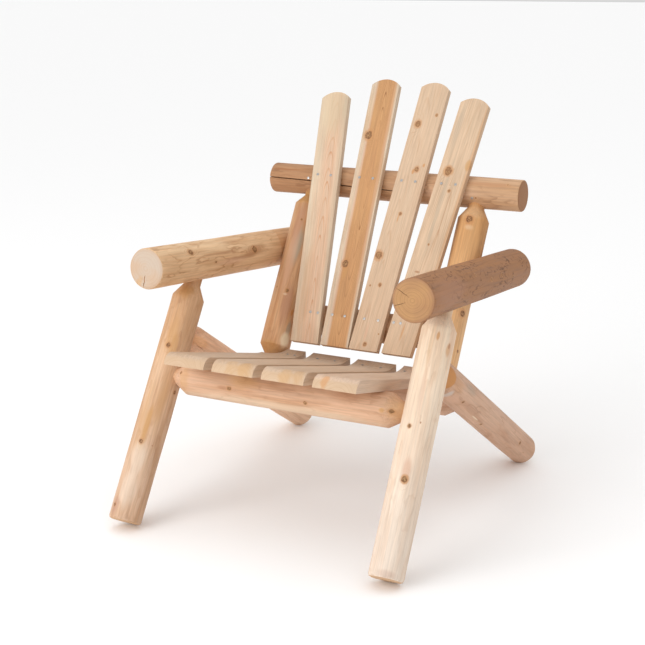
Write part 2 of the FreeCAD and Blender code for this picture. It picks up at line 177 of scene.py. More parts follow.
def plane_feet(piece: bpy.types.Object) -> None:
    """Plane off whatever of a piece hangs below the floor.

    Args:
        piece: the piece in its place.
    """
    if min(corner.co.z for corner in piece.data.vertices) > -FLOOR_SLACK:
        return
    with editing(piece):
        bpy.ops.mesh.select_all(action="SELECT")
        bpy.ops.mesh.bisect(plane_co=(0.0, 0.0, 0.0), plane_no=UP, use_fill=True,
                            clear_inner=True)


def soften(piece: bpy.types.Object, angle: float) -> None:
    """Shade a piece smooth, except across edges sharper than an angle in degrees."""
    choose(piece)
    bpy.ops.object.shade_smooth_by_angle(angle=math.radians(angle))


# ---------------------------------------------------------------- reading the frame
@dataclass(frozen=True)
class Lie:
    """How a log or a board lies in the chair.

    Its own frame has Z along the grain from its start, Y towards its upper side or its broad
    face, and X across.
    """

    start: Vector
    along: Vector
    over: Vector
    length: float
    half_depth: float
    shaft: tuple[float, float]

    @property
    def radius(self) -> float:
        """A log's radius."""
        return self.half_depth

    @property
    def place(self) -> Matrix:
        """The piece's own frame as a matrix.

        Returns:
            The matrix that takes the piece's own frame into the chair's.
        """
        across = self.over.cross(self.along)
        turned = Matrix((across, self.over, self.along)).transposed().to_4x4()
        return Matrix.Translation(self.start) @ turned


def hull_of(node: str) -> bmesh.types.BMesh:
    """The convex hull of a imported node, which bridges its mortises and notches.

    Args:
        node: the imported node's name.

    Returns:
        The hull, which the caller frees.
    """
    hull = bmesh.new()
    for corner in {tuple(round(c, 6) for c in v.co) for v in frame["nodes"][node].data.vertices}:
        hull.verts.new(corner)
    bmesh.ops.convex_hull(hull, input=hull.verts)
    return hull


def facing(hull: bmesh.types.BMesh) -> np.ndarray:
    """The directions that a hull's faces look in.

    Args:
        hull: a convex hull.

    Returns:
        Three unit vectors as rows, the one with the least area facing it first.
    """
    spread = np.zeros((3, 3))
    for face in hull.faces:
        normal = np.array(face.normal)
        spread += face.calc_area() * np.outer(normal, normal)
    return np.linalg.eigh(spread)[1].T


def towards(direction: np.ndarray, side: Vector) -> Vector:
    """A direction as a unit vector, turned to point to one side."""
    found = Vector(direction).normalized()
    return found if found.dot(side) > 0 else -found


def measure_log(node: str) -> Lie:
    """Find the axis, radius and full-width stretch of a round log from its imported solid.

    Args:
        node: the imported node's name.

    Returns:
        How the log lies, with its shaft between the two tenons.
    """
    hull = hull_of(node)
    along = towards(facing(hull)[0], FORWARD_SIDE)
    over = (UP - along * along.dot(UP)).normalized()
    across = over.cross(along)
    corners = np.array([v.co for v in hull.verts if v.link_faces])
    hull.free()
    flat = corners @ np.array((across, over)).T
    heights = corners @ np.array(along)
    middle = (flat.min(0) + flat.max(0)) / 2
    for _ in range(REFITS):
        reach = np.linalg.norm(flat - middle, axis=1)
        rim = reach > SHAFT_SHARE * reach.max()
        system = np.column_stack((2 * flat[rim], np.ones(rim.sum())))
        solved = np.linalg.lstsq(system, (flat[rim] ** 2).sum(1), rcond=None)[0]
        middle = solved[:2]
    radius = math.sqrt(solved[2] + middle @ middle)
    full = heights[np.linalg.norm(flat - middle, axis=1) > SHAFT_SHARE * radius]
    low, high = heights.min(), heights.max()
    start = across * middle[0] + over * middle[1] + along * low
    shaft = (float(full.min() - low), float(full.max() - low))
    return Lie(start, along, over, float(high - low), radius, shaft)


def measure_board(node: str) -> Lie:
    """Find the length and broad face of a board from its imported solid.

    Args:
        node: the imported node's name.

    Returns:
        How the board lies.
    """
    hull = hull_of(node)
    directions = facing(hull)
    along = towards(directions[0], FORWARD_SIDE)
    over = towards(directions[2], SEAT_SIDE)
    across = over.cross(along)
    corners = np.array([v.co for v in hull.verts if v.link_faces])
    hull.free()
    own = corners @ np.array((across, over, along)).T
    low, high = own.min(0), own.max(0)
    middle = (low + high) / 2
    start = across * middle[0] + over * middle[1] + along * low[2]
    _, depth, length = (high - low).tolist()
    return Lie(start, along, over, length, depth / 2, (0.0, length))


# ---------------------------------------------------------------- wood
@dataclass(frozen=True)
class Knot:
    """A knot in the wood: how far along the piece, how far round or across it, and its radius.

    round_by is degrees from a log's upper line, positive towards its own +X.  On a board it is
    millimetres across from the middle of its broad face.
    """

    height: float
    round_by: float
    radius: float
    proud: float = 0.0006


@dataclass(frozen=True)
class Stain:
    """A patch of another colour, placed as a knot is; width and length are half its size."""

    height: float
    round_by: float
    width: float
    length: float
    colour: Colour
    share: float = 0.8
    edge: float = 0.4
    ragged: float = 0.8


@dataclass(frozen=True)
class Spot:
    """The middle of a knot or a stain and the way out of the wood there, in the pith's frame."""

    middle: Vector
    outward: Vector


@dataclass(frozen=True)
class Growth:
    """How one piece grew: its pith's frame, its length, its knots and its stains.

    The tints multiply the wood's colour at the piece's start and at its far end, and seed
    shifts the pattern, so that no two pieces match.  On the left back post the far-end tint is painted
    shade under the armrest.
    """

    place: Matrix
    length: float
    radius: float
    seed: float
    knots: tuple[tuple[Knot, Spot], ...] = ()
    stains: tuple[tuple[Stain, Spot], ...] = ()
    low_tint: Colour = WHITE
    high_tint_and_shade: Colour = WHITE


class Pace:
    """How often each pattern repeats in a metre: across, across and along the grain."""

    SWAY: ClassVar[Scale] = (16.0, 16.0, 4.0)
    WEAR: ClassVar[Scale] = (38.0, 38.0, 10.0)
    HEART_EDGE: ClassVar[Scale] = (60.0, 60.0, 7.0)
    CLOUD: ClassVar[Scale] = (18.0, 18.0, 4.5)
    PATCH: ClassVar[Scale] = (55.0, 55.0, 7.0)
    END_SPOT: ClassVar[Scale] = (22.0, 22.0, 22.0)
    VEIN: ClassVar[Scale] = (170.0, 170.0, 6.0)
    STREAK: ClassVar[Scale] = (260.0, 260.0, 9.0)
    THREAD: ClassVar[Scale] = (900.0, 900.0, 40.0)
    END_BAND: ClassVar[Scale] = (330.0, 1.0, 1.0)
    STAIN_EDGE: ClassVar[Scale] = (90.0, 90.0, 18.0)
    KNOT_EDGE: ClassVar[Scale] = (190.0, 190.0, 150.0)
    KNOT_CORE: ClassVar[Scale] = (320.0, 320.0, 260.0)
    STEEL_WEAR: ClassVar[Scale] = (900.0, 900.0, 900.0)


class Recipe:
    """Builds one material's node tree, one short call for each node."""

    def __init__(self, name: str) -> None:
        """Start an empty material.

        Args:
            name: the material's name.
        """
        self.material = bpy.data.materials.new(name)
        self.material.use_nodes = True
        self.nodes = self.material.node_tree.nodes
        self.links = self.material.node_tree.links
        self.nodes.clear()

    def add(self, kind: str, **settings: object) -> bpy.types.Node:
        """Add one node.

        Args:
            kind: the node's type.
            settings: values for its properties.

        Returns:
            The new node.
        """
        node = self.nodes.new(kind)
        for key, value in settings.items():
            setattr(node, key, value)
        return node

    def feed(self, socket: bpy.types.NodeSocket, value: object) -> None:
        """Fill a socket.

        Args:
            socket: the input to fill.
            value: another node's output to link, or a plain value to set.
        """
        if isinstance(value, bpy.types.NodeSocket):
            self.links.new(value, socket)
        else:
            socket.default_value = value

    def maths(self, operation: str, *values: object) -> bpy.types.NodeSocket:
        """Do one sum on numbers.

        Args:
            operation: the sum's name.
            values: one to three outputs or numbers.

        Returns:
            The result.
        """
        node = self.add("ShaderNodeMath", operation=operation)
        for socket, value in zip(node.inputs, values):
            self.feed(socket, value)
        return node.outputs[0]

    def vector(self, operation: str, *values: object) -> bpy.types.NodeSocket:
        """Do one sum on vectors.

        Args:
            operation: the sum's name.
            values: one to three outputs or vectors.

        Returns:
            The result, a number for a length or a dot product.
        """
        node = self.add("ShaderNodeVectorMath", operation=operation)
        for socket, value in zip(node.inputs, values):
            self.feed(socket, value)
        plain = operation in ("LENGTH", "DOT_PRODUCT")
        return node.outputs["Value" if plain else "Vector"]

    def noise(self, where: object, scale: Scale, detail: float = 2.0,
              colour: bool = False) -> bpy.types.NodeSocket:
        """Make smooth noise.

        Args:
            where: the place that it depends on.
            scale: how often it repeats in a metre across, across and along.
            detail: how many finer layers it has.
            colour: whether it is wanted as three numbers.

        Returns:
            The noise, about 0.5 on average.
        """
        node = self.add("ShaderNodeTexNoise")
        self.feed(node.inputs["Vector"], self.vector("MULTIPLY", where, scale))
        node.inputs["Scale"].default_value = 1.0
        node.inputs["Detail"].default_value = detail
        return node.outputs["Color" if colour else "Fac"]

    def remap(self, value: object, low: float, high: float, to_low: float = 0.0,
              to_high: float = 1.0) -> bpy.types.NodeSocket:
        """Turn one stretch of a value smoothly into another.

        Args:
            value: the value.
            low: the start of its stretch.
            high: the end of its stretch.
            to_low: what the start becomes.
            to_high: what the end becomes.

        Returns:
            The new value, held at its ends outside the stretch.
        """
        node = self.add("ShaderNodeMapRange", interpolation_type="SMOOTHSTEP")
        for name, given in (("Value", value), ("From Min", low), ("From Max", high),
                            ("To Min", to_low), ("To Max", to_high)):
            self.feed(node.inputs[name], given)
        return node.outputs["Result"]

    def blend(self, share: object, first: object, second: object,
              way: str = "MIX") -> bpy.types.NodeSocket:
        """Mix two colours.

        Args:
            share: how much of the second there is, from 0 to 1.
            first: the colour below.
            second: the colour over it.
            way: how they mix.

        Returns:
            The mixed colour.
        """
        node = self.add("ShaderNodeMix", data_type="RGBA", blend_type=way)
        self.feed(node.inputs["Factor"], share)
        colours = [s for s in node.inputs if s.type == "RGBA"]
        for socket, value in zip(colours, (first, second)):
            self.feed(socket, (*value, 1.0) if isinstance(value, tuple) else value)
        return next(s for s in node.outputs if s.type == "RGBA")

    def grey(self, tone: object) -> bpy.types.NodeSocket:
        """Make a grey.

        Args:
            tone: its lightness.

        Returns:
            The colour.
        """
        node = self.add("ShaderNodeCombineColor")
        for socket in node.inputs:
            self.feed(socket, tone)
        return node.outputs[0]

    def reach(self, own: object, spot: Spot, width: float, length: float) -> bpy.types.NodeSocket:
        """How far a point is from a spot, counted in the spot's own half sizes.

        Args:
            own: the place in the pith's frame.
            spot: the middle of an oval on the surface.
            width: half the oval's size across the grain.
            length: half its size along the grain.

        Returns:
            1.0 on the oval's rim, less inside it.
        """
        node = self.add("ShaderNodeMapping", vector_type="TEXTURE")
        self.feed(node.inputs["Vector"], own)
        node.inputs["Location"].default_value = spot.middle
        inward = math.atan2(-spot.outward.x, spot.outward.y)
        node.inputs["Rotation"].default_value = (0.0, 0.0, inward)
        node.inputs["Scale"].default_value = (width, max(width, 0.006) * 3.0, length)
        return self.vector("LENGTH", node.outputs[0])


@dataclass(frozen=True)
class WoodFinish:
    """One kind of cut or peeled wood.  Colours are linear, lengths are metres.

    The year rings are a solid pattern round the pith, so a log's ends show circles, its points
    show the rings cut across, and a board's face shows arches.
    """

    sap: Colour
    heart: Colour
    ring: Colour
    stain: Colour = (0.40, 0.25, 0.15)
    stain_share: float = 0.25
    cut: Colour = (0.62, 0.40, 0.23)
    ring_gap: float = 0.0018
    ring_strength: float = 0.55
    ring_start: float = 0.62
    ring_wander: float = 0.004
    ring_swirl: float = 0.0035
    ring_unbroken: float = 0.05
    swirl_pace: float = 11.0
    arch_slope: float = 0.0
    end_rings: float = 0.25
    end_rim: float = 0.3
    vein: float = 0.20
    mottle: float = 0.5
    heart_radius: float = 0.020
    heart_edge: float = 0.008
    heart_flat: float = 1.0
    fibre: float = 0.12
    knot_rim: Colour = (0.16, 0.070, 0.028)
    knot_core: Colour = (0.40, 0.22, 0.095)
    knot_halo: Colour = (0.52, 0.25, 0.10)
    relief: float = 0.35
    relief_height: float = 0.0006
    specular: float = 0.32
    roughness: float = 0.62

    def mix(self, name: str, growth: Growth) -> bpy.types.Material:
        """Make this wood for one piece.

        Args:
            name: the material's name.
            growth: how the piece grew.

        Returns:
            The finished material.
        """
        made = Recipe(name)
        own = self._own_place(made, growth.place)
        seed = growth.seed
        shifted = made.vector("ADD", own, tuple(seed * step for step in SEED_STEP))
        along = growth.place.to_3x3() @ UP
        facing_end = made.vector("DOT_PRODUCT", made.add("ShaderNodeNewGeometry").outputs["Normal"],
                                 tuple(along))
        end = made.remap(made.maths("ABSOLUTE", facing_end), *END_GRAIN)
        sway = self._sway(made, shifted)
        depth = self._ring_depth(made, own, sway, shifted, growth)
        line = self._ring_line(made, depth, shifted, end)
        colour, fibres = self._plain_colour(made, own, sway, line, shifted, end)
        colour = self._end_bands(made, own, sway, growth, end, colour)
        for stain, spot in growth.stains:
            colour = self._stained(made, own, shifted, stain, spot, colour)
        height = made.maths("MULTIPLY_ADD", line, -0.35, fibres)
        if growth.knots:
            colour, height = self._knotted(made, own, shifted, growth, colour, height)
        # Multiply by a tint that runs along the piece; on the left back post its darker far end is
        # painted shade under the armrest.
        if (growth.low_tint, growth.high_tint_and_shade) != (WHITE, WHITE):
            climb = made.add("ShaderNodeSeparateXYZ")
            made.feed(climb.inputs[0], own)
            share = made.remap(climb.outputs["Z"], 0.0, growth.length)
            tint_and_shade = made.blend(share, growth.low_tint, growth.high_tint_and_shade)
            colour = made.blend(made.remap(end, 0.0, 1.0, 1.0, 0.0), colour, tint_and_shade, "MULTIPLY")
        self._surface(made, colour, height, fibres)
        return made.material

    def _own_place(self, made: Recipe, place: Matrix) -> bpy.types.NodeSocket:
        """Find the place of a surface point in the pith's own frame.

        Args:
            made: the material.
            place: the pith's frame.

        Returns:
            The place.
        """
        mapping = made.add("ShaderNodeMapping", vector_type="TEXTURE")
        mapping.inputs["Location"].default_value = place.translation
        mapping.inputs["Rotation"].default_value = place.to_euler("XYZ")
        made.feed(mapping.inputs["Vector"], made.add("ShaderNodeTexCoord").outputs["Object"])
        return mapping.outputs[0]

    def _sway(self, made: Recipe, shifted: object) -> bpy.types.NodeSocket:
        """Find how far the pith wanders sideways.

        Args:
            made: the material.
            shifted: the place that this piece's patterns read.

        Returns:
            The shift across the piece, in metres.
        """
        slow = made.noise(shifted, Pace.SWAY, 1.0, colour=True)
        return made.vector("MULTIPLY", made.vector("SUBTRACT", slow, (0.5, 0.5, 0.5)),
                           (2 * self.ring_wander, 2 * self.ring_wander, 0.0))

    def _ring_depth(self, made: Recipe, own: object, sway: object, shifted: object,
                    growth: Growth) -> bpy.types.NodeSocket:
        """Measure the distance from the pith in the growing tree: wandering, and bulging at knots.

        Args:
            made: the material.
            own: the place in the pith's frame.
            sway: how far the pith wanders there.
            shifted: the place that this piece's patterns read.
            growth: how the piece grew.

        Returns:
            The distance in metres.
        """
        where = made.vector("ADD", own, sway)
        if self.arch_slope:
            climb = made.add("ShaderNodeSeparateXYZ")
            made.feed(climb.inputs[0], where)
            lean = made.add("ShaderNodeCombineXYZ")
            made.feed(lean.inputs["Y"], made.maths("MULTIPLY", climb.outputs["Z"], self.arch_slope))
            where = made.vector("ADD", where, lean.outputs[0])
        depth = made.vector("LENGTH", made.vector("MULTIPLY", where, ACROSS))
        swirl = made.noise(shifted, (42.0, 42.0, self.swirl_pace), 2.5)
        depth = made.maths("MULTIPLY_ADD", swirl, self.ring_swirl * 2, depth)
        for knot, spot in growth.knots:
            near = made.reach(own, spot, *(knot.radius * part for part in KNOT_BULGE))
            depth = made.maths("ADD", depth, made.remap(near, 0.0, 1.0, KNOT_RINGS * self.ring_gap, 0.0))
        return depth

    def _ring_line(self, made: Recipe, depth: object, shifted: object,
                   end: object) -> bpy.types.NodeSocket:
        """Draw the dark late wood of each year.

        Args:
            made: the material.
            depth: the distance from the pith.
            shifted: the place that this piece's patterns read.
            end: how nearly the surface is end grain.

        Returns:
            The line's strength, from 0 to 1.
        """
        years = made.maths("FRACT", made.maths("DIVIDE", depth, self.ring_gap))
        rise = made.remap(years, self.ring_start, LATE_WOOD[0])
        fall = made.remap(years, LATE_WOOD[1], 1.0, 1.0, 0.0)
        worn = made.noise(shifted, Pace.WEAR, 2.0)
        share = made.maths("MAXIMUM", made.remap(worn, 0.38, 0.64, self.ring_unbroken, 1.0), end)
        return made.maths("MULTIPLY", made.maths("MULTIPLY", rise, fall), share)

    def _plain_colour(self, made: Recipe, own: object, sway: object, line: object,
                      shifted: object, end: object) -> tuple[bpy.types.NodeSocket,
                                                             bpy.types.NodeSocket]:
        """Colour clear wood, and comb its fibres.

        Args:
            made: the material.
            own: the place in the pith's frame.
            sway: how far the pith wanders there.
            line: the year rings' strength.
            shifted: the place that this piece's patterns read.
            end: how nearly the surface is end grain.

        Returns:
            The colour, and the fibres as a height.
        """
        spread = made.vector("MULTIPLY", made.vector("ADD", own, sway), (1.0, self.heart_flat, 0.0))
        grain = made.noise(shifted, Pace.HEART_EDGE, 2.0)
        from_pith = made.maths("MULTIPLY_ADD", grain, self.heart_edge, made.vector("LENGTH", spread))
        heart = made.remap(from_pith, self.heart_radius - self.heart_edge * 0.5,
                           self.heart_radius + self.heart_edge * 1.5, 1.0, 0.0)
        side = made.blend(heart, self.sap, self.heart)
        cloud = made.noise(shifted, Pace.CLOUD, 2.0)
        side = made.blend(made.remap(cloud, 0.42, 0.72, 0.0, self.stain_share), side, self.stain)
        patchy = made.noise(shifted, Pace.PATCH, 4.0)
        side = made.blend(made.remap(patchy, 0.46, 0.66, 0.0, self.mottle), side, self.stain)
        spots = made.noise(shifted, Pace.END_SPOT, 2.0)
        face = made.blend(made.remap(spots, 0.35, 0.75, 0.0, 0.35), self.cut, self.stain)
        colour = made.blend(end, side, face)
        strength = made.remap(end, 0.0, 1.0, self.ring_strength, self.end_rings)
        colour = made.blend(made.maths("MULTIPLY", line, strength), colour, self.ring)
        plain = made.remap(end, 0.0, 1.0, 1.0, 0.0)
        veins = made.noise(shifted, Pace.VEIN, 1.5)
        share = made.maths("MULTIPLY", made.remap(veins, 0.52, 0.72, 0.0, self.vein), plain)
        colour = made.blend(share, colour, self.ring)
        streaks = made.noise(shifted, Pace.STREAK, 2.0)
        threads = made.noise(shifted, Pace.THREAD, 1.0)
        fibres = made.maths("MULTIPLY_ADD", threads, 0.45, streaks)
        fibres = made.maths("MULTIPLY_ADD", made.maths("SUBTRACT", fibres, 0.7), plain, 0.7)
        tone = made.remap(fibres, 0.35, 1.05, 1.0 - self.fibre, 1.0 + self.fibre)
        return made.blend(1.0, colour, made.grey(tone), "MULTIPLY"), fibres

    def _end_bands(self, made: Recipe, own: object, sway: object, growth: Growth, end: object,
                   colour: object) -> bpy.types.NodeSocket:
        """Lay broad and narrow bands of years, and the darker sapwood rim, on the sawn ends.

        Args:
            made: the material.
            own: the place in the pith's frame.
            sway: how far the pith wanders there.
            growth: how the piece grew.
            end: how nearly the surface is end grain.
            colour: the wood's colour so far.

        Returns:
            The new colour.
        """
        flat = made.vector("MULTIPLY", made.vector("ADD", own, sway), ACROSS)
        across = made.add("ShaderNodeCombineXYZ")
        made.feed(across.inputs["X"], made.vector("LENGTH", flat))
        bands = made.noise(across.outputs[0], Pace.END_BAND, 3.0)
        share = made.remap(bands, 0.44, 0.62, 0.0, self.end_rings)
        colour = made.blend(made.maths("MULTIPLY", share, end), colour, self.ring)
        rim = made.remap(made.vector("LENGTH", made.vector("MULTIPLY", own, ACROSS)),
                         growth.radius * SAPWOOD_START, growth.radius, 0.0, self.end_rim)
        return made.blend(made.maths("MULTIPLY", rim, end), colour, self.stain)

    @staticmethod
    def _stained(made: Recipe, own: object, shifted: object, stain: Stain, spot: Spot,
                 colour: object) -> bpy.types.NodeSocket:
        """Lay one stain over the wood, ragged along the grain.

        Args:
            made: the material.
            own: the place in the pith's frame.
            shifted: the place that this piece's patterns read.
            stain: the stain.
            spot: its middle.
            colour: the wood's colour so far.

        Returns:
            The new colour.
        """
        near = made.reach(own, spot, stain.width, stain.length)
        ragged = made.noise(shifted, Pace.STAIN_EDGE, 2.0)
        near = made.maths("MULTIPLY_ADD", made.maths("SUBTRACT", ragged, 0.5), stain.ragged, near)
        share = made.remap(near, 1.0 - stain.edge, 1.0 + stain.edge, stain.share, 0.0)
        return made.blend(share, colour, stain.colour)

    def _knotted(self, made: Recipe, own: object, shifted: object, growth: Growth,
                 colour: object, height: object) -> tuple[bpy.types.NodeSocket,
                                                          bpy.types.NodeSocket]:
        """Lay the knots over the clear wood: an orange halo, a dark rim and a cracked core.

        Args:
            made: the material.
            own: the place in the pith's frame.
            shifted: the place that this piece's patterns read.
            growth: how the piece grew, with one knot or more.
            colour: the wood's colour so far.
            height: its relief so far.

        Returns:
            The new colour and the new relief.
        """
        rough = made.noise(shifted, Pace.KNOT_EDGE, 2.0)
        nearest = None
        for knot, spot in growth.knots:
            near = made.reach(own, spot, *(knot.radius * part for part in KNOT_OVAL))
            nearest = near if nearest is None else made.maths("MINIMUM", nearest, near)
        reach = made.maths("MULTIPLY_ADD", made.maths("SUBTRACT", rough, 0.5), 0.9, nearest)
        halo = made.remap(reach, 0.9, 1.9, 0.75, 0.0)
        colour = made.blend(halo, colour, self.knot_halo)
        blotch = made.noise(shifted, Pace.KNOT_CORE, 1.0)
        core = made.blend(made.remap(blotch, 0.40, 0.62), self.knot_core, self.knot_rim)
        core = made.blend(made.remap(reach, 0.50, 0.86, 0.0, 0.75), core, self.knot_rim)
        inside = made.remap(reach, 0.84, 1.08, 1.0, 0.0)
        colour = made.blend(made.maths("MULTIPLY", inside, 0.9), colour, core)
        return colour, made.maths("MULTIPLY_ADD", inside, 0.4, height)

    def _surface(self, made: Recipe, colour: object, height: object, fibres: object) -> None:
        """Finish the tree with the shader, its roughness and its relief.

        Args:
            made: the material.
            colour: the wood's colour.
            height: its relief.
            fibres: the fibres, which vary the gloss.
        """
        shader = made.add("ShaderNodeBsdfPrincipled")
        shader.inputs["Specular IOR Level"].default_value = self.specular
        made.feed(shader.inputs["Base Color"], colour)
        made.feed(shader.inputs["Roughness"],
                  made.remap(fibres, 0.3, 1.1, self.roughness - 0.08, self.roughness + 0.10))
        bump = made.add("ShaderNodeBump")
        bump.inputs["Strength"].default_value = self.relief
        bump.inputs["Distance"].default_value = self.relief_height
        made.feed(bump.inputs["Height"], height)
        made.feed(shader.inputs["Normal"], bump.outputs[0])
        output = made.add("ShaderNodeOutputMaterial")
        made.feed(output.inputs["Surface"], shader.outputs[0])


def dress(piece: bpy.types.Object, part: "PeeledLog | SawnBoard", lie: Lie, pith: Matrix) -> None:
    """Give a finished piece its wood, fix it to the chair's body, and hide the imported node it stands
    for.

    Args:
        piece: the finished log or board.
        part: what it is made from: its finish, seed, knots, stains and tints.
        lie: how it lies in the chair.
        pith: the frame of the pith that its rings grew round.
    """
    knots = tuple((knot, part.spot(lie, knot)) for knot in part.knots)
    stains = tuple((stain, part.spot(lie, stain)) for stain in part.stains)
    growth = Growth(pith, lie.length, lie.radius, part.seed, knots, stains,
                    part.low_tint, part.high_tint_and_shade)
    piece.data.materials.clear()
    piece.data.materials.append(part.finish.mix(part.node + "_wood", growth))
    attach(piece, BODY)
    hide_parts(part.node)


LEG_WOOD = WoodFinish(sap=(0.66, 0.44, 0.27), heart=(0.56, 0.32, 0.16),
                      ring=(0.40, 0.19, 0.08), stain=(0.50, 0.27, 0.125), stain_share=0.5,
                      ring_strength=0.30, mottle=0.55)
PALE_LEG_WOOD = WoodFinish(sap=(0.80, 0.62, 0.47), heart=(0.60, 0.37, 0.20),
                           ring=(0.55, 0.32, 0.18), stain=(0.68, 0.46, 0.31), stain_share=0.4,
                           ring_strength=0.25, mottle=0.45, vein=0.12)
SIDE_WOOD = WoodFinish(sap=(0.60, 0.38, 0.26), heart=(0.50, 0.28, 0.15),
                       ring=(0.34, 0.17, 0.09), stain=(0.46, 0.25, 0.15), stain_share=0.5,
                       ring_strength=0.35)
FRONT_RAIL_WOOD = WoodFinish(sap=(0.64, 0.40, 0.26), heart=(0.60, 0.34, 0.17),
                             ring=(0.38, 0.19, 0.10), stain=(0.52, 0.28, 0.15),
                             stain_share=0.45, ring_strength=0.35)
ARM_WOOD = WoodFinish(sap=(0.77, 0.53, 0.315), heart=(0.77, 0.53, 0.315),
                      ring=(0.36, 0.135, 0.04), stain=(0.56, 0.31, 0.15), stain_share=0.45,
                      cut=(0.53, 0.43, 0.34), end_rings=0.13, ring_gap=0.0022,
                      ring_strength=0.50, ring_wander=0.0065, ring_swirl=0.0045)
BROWN_ARM_WOOD = WoodFinish(sap=(0.358, 0.168, 0.072), heart=(0.358, 0.168, 0.072),
                            ring=(0.11, 0.045, 0.02), stain=(0.34, 0.17, 0.09), stain_share=0.5,
                            cut=(0.50, 0.272, 0.113), end_rings=0.20, end_rim=0.75,
                            ring_gap=0.0019, ring_strength=0.74, ring_wander=0.0060,
                            ring_swirl=0.0050, swirl_pace=24.0)
POST_WOOD = WoodFinish(sap=(0.62, 0.36, 0.155), heart=(0.56, 0.31, 0.14),
                       ring=(0.40, 0.20, 0.08), stain=(0.52, 0.27, 0.10), stain_share=0.5,
                       ring_strength=0.22, mottle=0.35)
LEFT_POST_WOOD = WoodFinish(sap=(0.62, 0.38, 0.22), heart=(0.56, 0.31, 0.14),
                            ring=(0.36, 0.17, 0.08), stain=(0.48, 0.23, 0.10), stain_share=0.6,
                            ring_strength=0.25, mottle=0.65)
RAIL_WOOD = WoodFinish(sap=(0.46, 0.26, 0.14), heart=(0.42, 0.23, 0.12),
                       ring=(0.22, 0.095, 0.04), stain=(0.36, 0.18, 0.08), stain_share=0.5,
                       cut=(0.33, 0.15, 0.063), ring_strength=0.45)
PINK_BOARD_WOOD = WoodFinish(sap=(0.63, 0.51, 0.37), heart=(0.65, 0.44, 0.30),
                             ring=(0.52, 0.22, 0.09), stain=(0.60, 0.43, 0.29), stain_share=0.2,
                             cut=(0.60, 0.42, 0.28), ring_gap=0.0022, ring_strength=0.85,
                             ring_start=0.70, ring_swirl=0.0010, ring_wander=0.003,
                             arch_slope=0.045, heart_radius=0.020, heart_edge=0.012,
                             heart_flat=0.0, mottle=0.2, ring_unbroken=0.3)
PALE_BOARD_WOOD = WoodFinish(sap=(0.61, 0.44, 0.30), heart=(0.61, 0.44, 0.30),
                             ring=(0.46, 0.25, 0.13), stain=(0.58, 0.39, 0.25), stain_share=0.4,
                             cut=(0.58, 0.40, 0.26), ring_gap=0.0030, ring_strength=0.40,
                             ring_swirl=0.0010, ring_wander=0.003, arch_slope=0.035, mottle=0.25,
                             vein=0.10, knot_rim=(0.26, 0.125, 0.055))
GREY_BOARD_WOOD = WoodFinish(sap=(0.64, 0.46, 0.31), heart=(0.64, 0.46, 0.31),
                             ring=(0.42, 0.22, 0.11), stain=(0.50, 0.36, 0.24), stain_share=0.5,
                             cut=(0.56, 0.38, 0.24), ring_gap=0.0028, ring_strength=0.45,
                             ring_swirl=0.0012, ring_wander=0.003, arch_slope=0.030, mottle=0.3,
                             vein=0.10, knot_rim=(0.24, 0.115, 0.05))
HEART_BOARD_WOOD = WoodFinish(sap=(0.65, 0.53, 0.40), heart=(0.53, 0.278, 0.122),
                              ring=(0.24, 0.09, 0.03), stain=(0.56, 0.32, 0.14), stain_share=0.4,
                              cut=(0.52, 0.30, 0.15), ring_gap=0.0022, ring_strength=0.80,
                              ring_swirl=0.0010, ring_wander=0.003, arch_slope=0.040,
                              heart_radius=0.026, heart_edge=0.004, ring_unbroken=0.3,
                              heart_flat=0.0, vein=0.15, mottle=0.2, ring_start=0.7)
SEAT_WOOD = WoodFinish(sap=(0.55, 0.405, 0.29), heart=(0.55, 0.405, 0.29),
                       ring=(0.46, 0.28, 0.16), stain=(0.52, 0.34, 0.21), stain_share=0.35,
                       cut=(0.62, 0.46, 0.31), end_rings=0.35, ring_gap=0.0026,
                       ring_strength=0.4, ring_swirl=0.0012, ring_wander=0.003, mottle=0.3)


# ---------------------------------------------------------------- logs
class LogEnd(Enum):
    """How the end of a log is finished."""

    SAWN = "sawn square, with its edge eased"
    POINTED = "sharpened to a round tenon, which sits in another log"


@dataclass(frozen=True)
class Check:
    """A drying crack.

    height is where its middle lies along the log, or the low end for a crack from the rim
    towards the pith; round_by is where it lies round the log in degrees; reach is how far
    its middle is from the log's axis; slope tips it along a pencil point and lean turns it round
    the log; length, width and depth are its size in metres.
    """

    LOW_END: ClassVar[float] = -1.0

    height: float
    round_by: float
    length: float
    reach: float = 0.0385
    slope: float = 0.0
    width: float = 0.0014
    depth: float = 0.012
    weave: float = 1.0
    lean: float = 0.0


